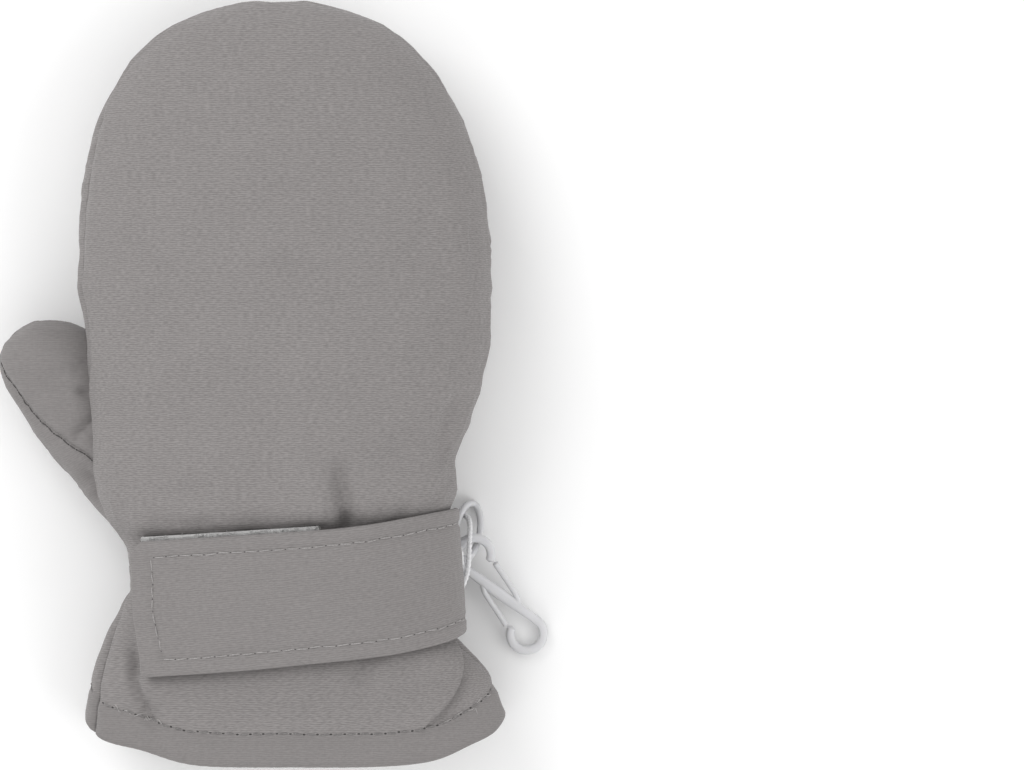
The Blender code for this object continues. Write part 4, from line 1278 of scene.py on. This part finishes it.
def build_lining():
    """Off-white curly pile inside the hand. It fills out at the mouth, where it meets the hem's facing."""
    rng = random.Random(77)
    for name, back in (("back", True), ("palm", False)):
        columns = 150
        angles = half_angles(back, columns, 0.002)
        mouth = np.linspace(LINING_FROM_Y - 1.6, -36.0, 36)
        deeper = rows_at(-35.0, None, 6.7, 2.2, 16)
        outer_y = np.r_[mouth, rows_at(-35.0, None, 3.7, 2.2, 16)][:, None]
        inner_y = np.r_[mouth, deeper][:, None]
        outer = hand_points(outer_y, angles, 3.75)
        inner = hand_points(inner_y, angles, 6.3)
        normals = normals_of(inner)
        middle = inner.mean(axis=(1,), keepdims=True) * np.array((1, 1, 0)) + np.array((0, 0, 16.0))
        normals *= np.sign(((middle - inner) * normals).sum(-1, keepdims=True))
        nubs = curls(inner, 2.3, 5 if back else 9)
        fine = curls(inner, 1.2, 2)
        near_mouth = np.exp(-np.maximum(0, inner_y + 60.0) / 5.0)
        inner = inner + normals * (1.25 * nubs + 0.5 * fine - 0.2 + 0.5 * near_mouth)[..., None]
        inner[:3, :, 1] -= (1.2 * nubs[:3] + 0.2) * np.array((1.0, 0.7, 0.35))[:, None]
        inner[..., 2] = np.maximum(inner[..., 2], 4.1)
        outer[..., 2] = np.maximum(outer[..., 2], 3.7)
        points, faces = closed_layer(outer, inner, wraps=False)
        made = new_object(name + "_pile", points, faces, [pile_white])
        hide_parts(name + "_lining")
        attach(made, "hand")
        # Loose curls of pile round the mouth.
        points, faces = [], []
        for _ in range(700):
            r, c = rng.randrange(0, min(30, len(mouth))), rng.randrange(0, columns)
            root, up = inner[r, c], normals[r, c]
            side = np.array((rng.uniform(-1, 1), rng.uniform(-1, 1), rng.uniform(-1, 1)))
            side -= up * side.dot(up)
            side /= np.linalg.norm(side)
            size = rng.uniform(0.35, 0.75)
            turns = [(0.0, -0.3), (0.5, 0.5), (0.2, 1.1), (-0.5, 0.9), (-0.35, 0.35)]
            line = [root + (side * a + up * b) * size * 1.3 for a, b in turns]
            p, f = tube(np.array(line), [0.16, 0.17, 0.15, 0.12, 0.07], 5)
            faces += [[i + len(points) for i in face] for face in f]
            points += p.tolist()
        tufts = new_object(name + "_pile_curls", points, faces, [pile_white])
        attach(tufts, "hand")


build_hem_facing()
build_elastic()
build_wadding()
build_lining()


def build_thumb_filling():
    """The thumb's wadding and pile, which follow the outer panels."""
    count = 56
    angles = np.arange(count)[None, :] * math.tau / count
    for name, outer_depth, inner_depth, finish, slot, node in (
            ("thumb_batting", 1.75, 2.45, wadding_white, "wadding", "thumb_wadding"),
            ("thumb_pile", 2.7, 4.9, pile_white, "pile_lining", "thumb_lining")):
        grids = []
        for depth in (outer_depth, inner_depth):
            reach = THUMB_END - THUMB_WIDE - depth
            along = np.r_[np.linspace(9.0, THUMB_WIDE, 20), THUMB_WIDE + reach * np.sin(
                np.linspace(0, np.pi / 2, 12)[1:])]
            along[-1] -= 0.002
            grids.append(thumb_points(along[:, None], angles, depth))
        if slot == "pile_lining":
            middle = grids[1].mean(axis=1, keepdims=True)
            inward = middle - grids[1]
            inward /= np.maximum(np.linalg.norm(inward, axis=-1, keepdims=True), 1e-6)
            grids[1] = grids[1] + inward * (0.9 * curls(grids[1], 2.2, 13))[..., None]
        points, faces = closed_layer(*grids, wraps=True)
        made = new_object(name, points, faces, [finish])
        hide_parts(node)
        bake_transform(made)


build_thumb_filling()


# ---------------------------------------------------------------------------------------------------------
# The wrist strap and its tapes
# ---------------------------------------------------------------------------------------------------------
STRAP_EDGE, STRAP_CHAMFER, STRAP_CORNER = 0.85, 2.9, 0.9
STRAP_SEAM_SIDE, STRAP_SEAM_END, STRAP_SLANT, STRAP_DROOP = 3.5, 5.3, 1.7, 1.0


def strap_angle(x, half):
    across = (np.asarray(x, float) - STRAP_CENTRE_X) / half
    return np.arccos(np.copysign(np.abs(across) ** (BACK_ROUND / 2), across))


def strap_points(angle, width_share, lift):
    """Points of the strap: angle 0 is where it is sewn in, and width_share runs from its upper edge down."""
    angle, width_share, lift = np.broadcast_arrays(angle, width_share, lift)
    across, up = turned(angle, BACK_ROUND)
    x = STRAP_CENTRE_X + (STRAP_HALF_WIDTH + lift) * across
    top, bottom = smooth(STRAP_TOP, x), smooth(STRAP_BOTTOM, x)
    x = x - STRAP_SLANT * (1 - width_share) * ease(15.0, 42.0, x)
    lift = lift - STRAP_DROOP * ease(0.45, 1.0, width_share) * np.clip(up * 1.6, 0, 1)
    return np.stack((x, top + (bottom - top) * width_share, STRAP_BASE_Z + (STRAP_RISE + lift) * up), axis=-1)


def edge_spaced(length, edge, step):
    """Stations from 0 to length, close together near both ends."""
    near = [0.0, 0.06 * edge, 0.2 * edge, 0.45 * edge, 0.75 * edge, edge]
    middle = np.linspace(edge, length - edge, max(2, int(round((length - 2 * edge) / step)) + 1))[1:-1]
    return np.r_[near, middle, [length - d for d in reversed(near)]]


def strap_body(name, middle_lift, half_thick, shrink, finish, node, seamed, edge_puff=0.16):
    """A closed ply of the strap with soft edges, and the grid of its upper side."""
    width = 28.6
    w = edge_spaced(width, STRAP_EDGE, 0.62) / width
    corner = (np.maximum(0, STRAP_CHAMFER - w * width) + np.maximum(0, STRAP_CORNER - (1 - w) * width)
              + 0.25 * np.sin(w * 9.0) * np.minimum(1, w * 6))
    end_x = STRAP_END_X[0] + (STRAP_END_X[1] - STRAP_END_X[0]) * w + corner + shrink
    last = strap_angle(end_x, STRAP_HALF_WIDTH + 4.1)
    # Even steps along the strap's length.
    probe = strap_points(np.linspace(0, last.mean(), 2000), 0.5, 4.1)
    arc = np.r_[0, np.cumsum(np.linalg.norm(np.diff(probe, axis=0), axis=1))]
    total = arc[-1]
    stations = total - edge_spaced(total, STRAP_EDGE, 0.75)[::-1]
    stations = np.r_[0.0, stations[stations > STRAP_EDGE * 1.2]]
    share = np.interp(stations, arc, np.linspace(0, 1, 2000))
    angle = last[:, None] * share[None, :]
    w = w[:, None]
    place = strap_points(angle, shrink / width + w * (1 - 2 * shrink / width), middle_lift)
    from_end = (total - stations)[None, :] + 0 * w
    from_side = np.minimum(w, 1 - w) * width + 0 * from_end
    from_edge = np.minimum(from_side, from_end)
    full = np.sqrt(np.maximum(0.0, 1 - (1 - np.minimum(from_edge / STRAP_EDGE, 1)) ** 2))
    seam = np.minimum(np.abs(from_side - STRAP_SEAM_SIDE) + 20 * (from_end < STRAP_SEAM_END - 0.3),
                      np.abs(from_end - STRAP_SEAM_END) + 20 * (from_side < STRAP_SEAM_SIDE - 0.3))
    puff = np.zeros_like(from_edge)
    if seamed:
        outside = np.minimum(from_side / STRAP_SEAM_SIDE, from_end / STRAP_SEAM_END) < 1
        puff += -0.42 * np.exp(-(seam / 0.55) ** 2)
        puff += np.where(outside, edge_puff, 0.12 * (1 - np.exp(-seam / 2.0)))
        pucker = noise_at(np.stack((place[..., 0], place[..., 1], 0 * seam), -1), 0.36, 51, 2)
        puff += 0.20 * pucker * np.exp(-seam / 2.2)
        puff += 0.22 * noise_at(place * np.array((0.6, 1.0, 1.0)), 0.08, 52)
        puff += 0.07 * noise_at(place, 0.3, 53)
    lift_top = middle_lift + full * half_thick + puff * full
    lift_low = middle_lift - full * half_thick
    upper = strap_points(angle, shrink / width + w * (1 - 2 * shrink / width), lift_top)
    lower = strap_points(angle, shrink / width + w * (1 - 2 * shrink / width), lift_low)
    points, faces = closed_layer(upper, lower, wraps=False)
    u = np.broadcast_to(stations[None, :], from_edge.shape)
    v = np.broadcast_to(-w * width, from_edge.shape)
    uv = np.stack((-u, v), -1).reshape(-1, 2)
    made = new_object(name, points, faces, [finish], uv=np.concatenate((uv, uv + 50.0)))
    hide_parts(node)
    return made, upper, stations, w[:, 0] * width


def on_grid(grid, across_stations, along_stations, places):
    """Points and normals of a grid at places (across, along) given in its own stations."""
    normals = normals_of(grid)
    if normals[..., 2].mean() < 0:
        normals = -normals
    found, ups = [], []
    for a, b in places:
        r = float(np.interp(a, across_stations, np.arange(len(across_stations))))
        c = float(np.interp(b, along_stations, np.arange(len(along_stations))))
        r0, c0 = min(int(r), len(across_stations) - 2), min(int(c), len(along_stations) - 2)
        fr, fc = r - r0, c - c0
        for source, into in ((grid, found), (normals, ups)):
            into.append((source[r0, c0] * (1 - fc) + source[r0, c0 + 1] * fc) * (1 - fr)
                        + (source[r0 + 1, c0] * (1 - fc) + source[r0 + 1, c0 + 1] * fc) * fr)
    return np.array(found), np.array(ups)


def build_strap():
    cover, upper, along, across = strap_body("strap_cover", 3.75, 0.72, 0.0, cloth_strap, "strap_top_ply",
                                             True)
    backing, _, _, _ = strap_body("strap_lining_ply", 2.95, 0.42, 0.55, cloth_palm, "strap_backing", False)
    width, length = across[-1], along[-1]
    end = length - STRAP_SEAM_END
    runs = [[(STRAP_SEAM_SIDE, s) for s in np.arange(1.0, end, 0.4)] + [(STRAP_SEAM_SIDE, end)],
            [(a, end) for a in np.arange(STRAP_SEAM_SIDE, width - STRAP_SEAM_SIDE + 0.01, 0.4)],
            [(width - STRAP_SEAM_SIDE, s) for s in np.arange(end, 1.0, -0.4)]]
    pieces = [cover, backing]
    for name, run, seed in zip(("strap_stitches_upper", "strap_stitches_end", "strap_stitches_lower"), runs,
                               (61, 62, 63)):
        path, ups = on_grid(upper, across, along, run)
        made = stitches(name, path, ups, None, [thread_light, needle_hole_painted_shade], pitch=2.9, length=2.5,
                        radius=0.17, wander=0.14, seed=seed, hole=0.62)
        pieces.append(made)
    for piece in pieces:
        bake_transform(piece)


def little_hooks(name, roots, ups, aheads, size, wire, body, finish, shape, sides=4):
    """Many small hooks or loops of one shape, as one piece. shape is (ahead, up) steps."""
    points, faces = [], []
    for root, up, ahead in zip(roots, ups, aheads):
        line = np.array([root + (ahead * a + up * b) * size for a, b in shape])
        p, f = tube(line, wire, sides)
        faces += [[i + len(points) for i in face] for face in f]
        points += p.tolist()
    made = new_object(name, points, faces, [finish])
    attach(made, body)
    return made


def build_hook_tape():
    """The hook tape under the strap's free end, with its rows of small hooks."""
    first, last = strap_angle(5.9, STRAP_HALF_WIDTH + 2.2), strap_angle(-22.6, STRAP_HALF_WIDTH + 2.2)
    angle = np.linspace(first, last, 44)[None, :]
    w = np.linspace(0.11, 0.89, 30)[:, None]
    points, faces = closed_layer(strap_points(angle, w, 2.55), strap_points(angle, w, 2.1), wraps=False)
    made = new_object("hook_tape_base", points, faces, [hook_ground])
    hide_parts("strap_hook_tape")
    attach(made, "strap")
    rng = random.Random(81)
    angle = np.linspace(first + 0.02, last - 0.02, 26)[None, :]
    w = np.linspace(0.13, 0.87, 19)[:, None]
    roots = strap_points(angle, w, 2.12)
    below = strap_points(angle, w, 1.0) - roots
    below /= np.linalg.norm(below, axis=-1, keepdims=True)
    ahead = np.gradient(roots, axis=1)
    ahead /= np.linalg.norm(ahead, axis=-1, keepdims=True)
    flip = np.array([[rng.choice((-1.0, 1.0)) for _ in range(roots.shape[1])] for _ in range(len(roots))])
    little_hooks("hook_tape_hooks", roots.reshape(-1, 3), below.reshape(-1, 3),
                 (ahead * flip[..., None]).reshape(-1, 3), 0.8, 0.10, "strap", hook_ground,
                 [(0, -0.1), (0.02, 0.55), (0.16, 0.85), (0.42, 0.86), (0.52, 0.62)])


def build_loop_tape():
    """The loop tape across the back of the wrist, brushed into a nap."""
    rows = edge_spaced(LOOP_TAPE_Y[1] - LOOP_TAPE_Y[0], 0.8, 0.75)[:, None]
    x = LOOP_TAPE_X[1] - edge_spaced(LOOP_TAPE_X[1] - LOOP_TAPE_X[0], 0.8, 0.75)[None, :]
    y = LOOP_TAPE_Y[0] + rows + LOOP_TAPE_TILT * (x - LOOP_TAPE_X[0])
    left, right = smooth(LEFT_EDGE, y) - 1.0, smooth(RIGHT_EDGE, y) + 1.0
    across = (x - (left + right) / 2) / ((right - left) / 2)
    angle = np.arccos(np.copysign(np.abs(across) ** (BACK_ROUND / 2), across))
    from_edge = np.minimum(np.minimum(rows, rows[-1] - rows), np.minimum(x[0, 0] - x, x - x[0, -1]))
    full = np.sqrt(np.maximum(0.0, 1 - (1 - np.minimum(from_edge / 0.8, 1)) ** 2))
    base = hand_points(y, angle, -1.0)
    nap = noise_at(base, 1.1, 85, 3)
    upper = hand_points(y, angle, -(0.45 + full * (0.75 + 0.12 * nap)))
    lower = hand_points(y, angle, -0.05 + 0 * full)
    points, faces = closed_layer(upper, lower, wraps=False)
    made = new_object("loop_tape_pad", points, faces, [loop_nap])
    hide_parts("wrist_loop_tape")
    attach(made, "hand")
    rng = random.Random(86)
    ups = normals_of(upper)
    ups *= np.sign(ups[..., 2:3])
    roots, normals, aheads = [], [], []
    for _ in range(1500):
        r, c = rng.randrange(3, upper.shape[0] - 3), rng.randrange(3, upper.shape[1] - 3)
        turn = rng.uniform(0, math.tau)
        side = np.array((math.cos(turn), math.sin(turn), 0.0))
        roots.append(upper[r, c] + side * rng.uniform(0, 0.5))
        normals.append(ups[r, c])
        side -= ups[r, c] * side.dot(ups[r, c])
        aheads.append(side / np.linalg.norm(side))
    little_hooks("loop_tape_loops", roots, normals, aheads, 0.38, 0.045, "hand", loop_nap,
                 [(-0.6, -0.3), (-0.75, 0.3), (-0.2, 0.75), (0.5, 0.55), (0.6, -0.25)], sides=3)
    for name, r, seed in (("loop_tape_stitches_lower", 6, 88), ("loop_tape_stitches_upper", -7, 89)):
        stitches(name, upper[r] + ups[r] * 0.12, ups[r], "hand", [thread_light, needle_hole_painted_shade], pitch=2.8,
                 length=2.1, radius=0.14, seed=seed)


build_strap()
build_hook_tape()
build_loop_tape()
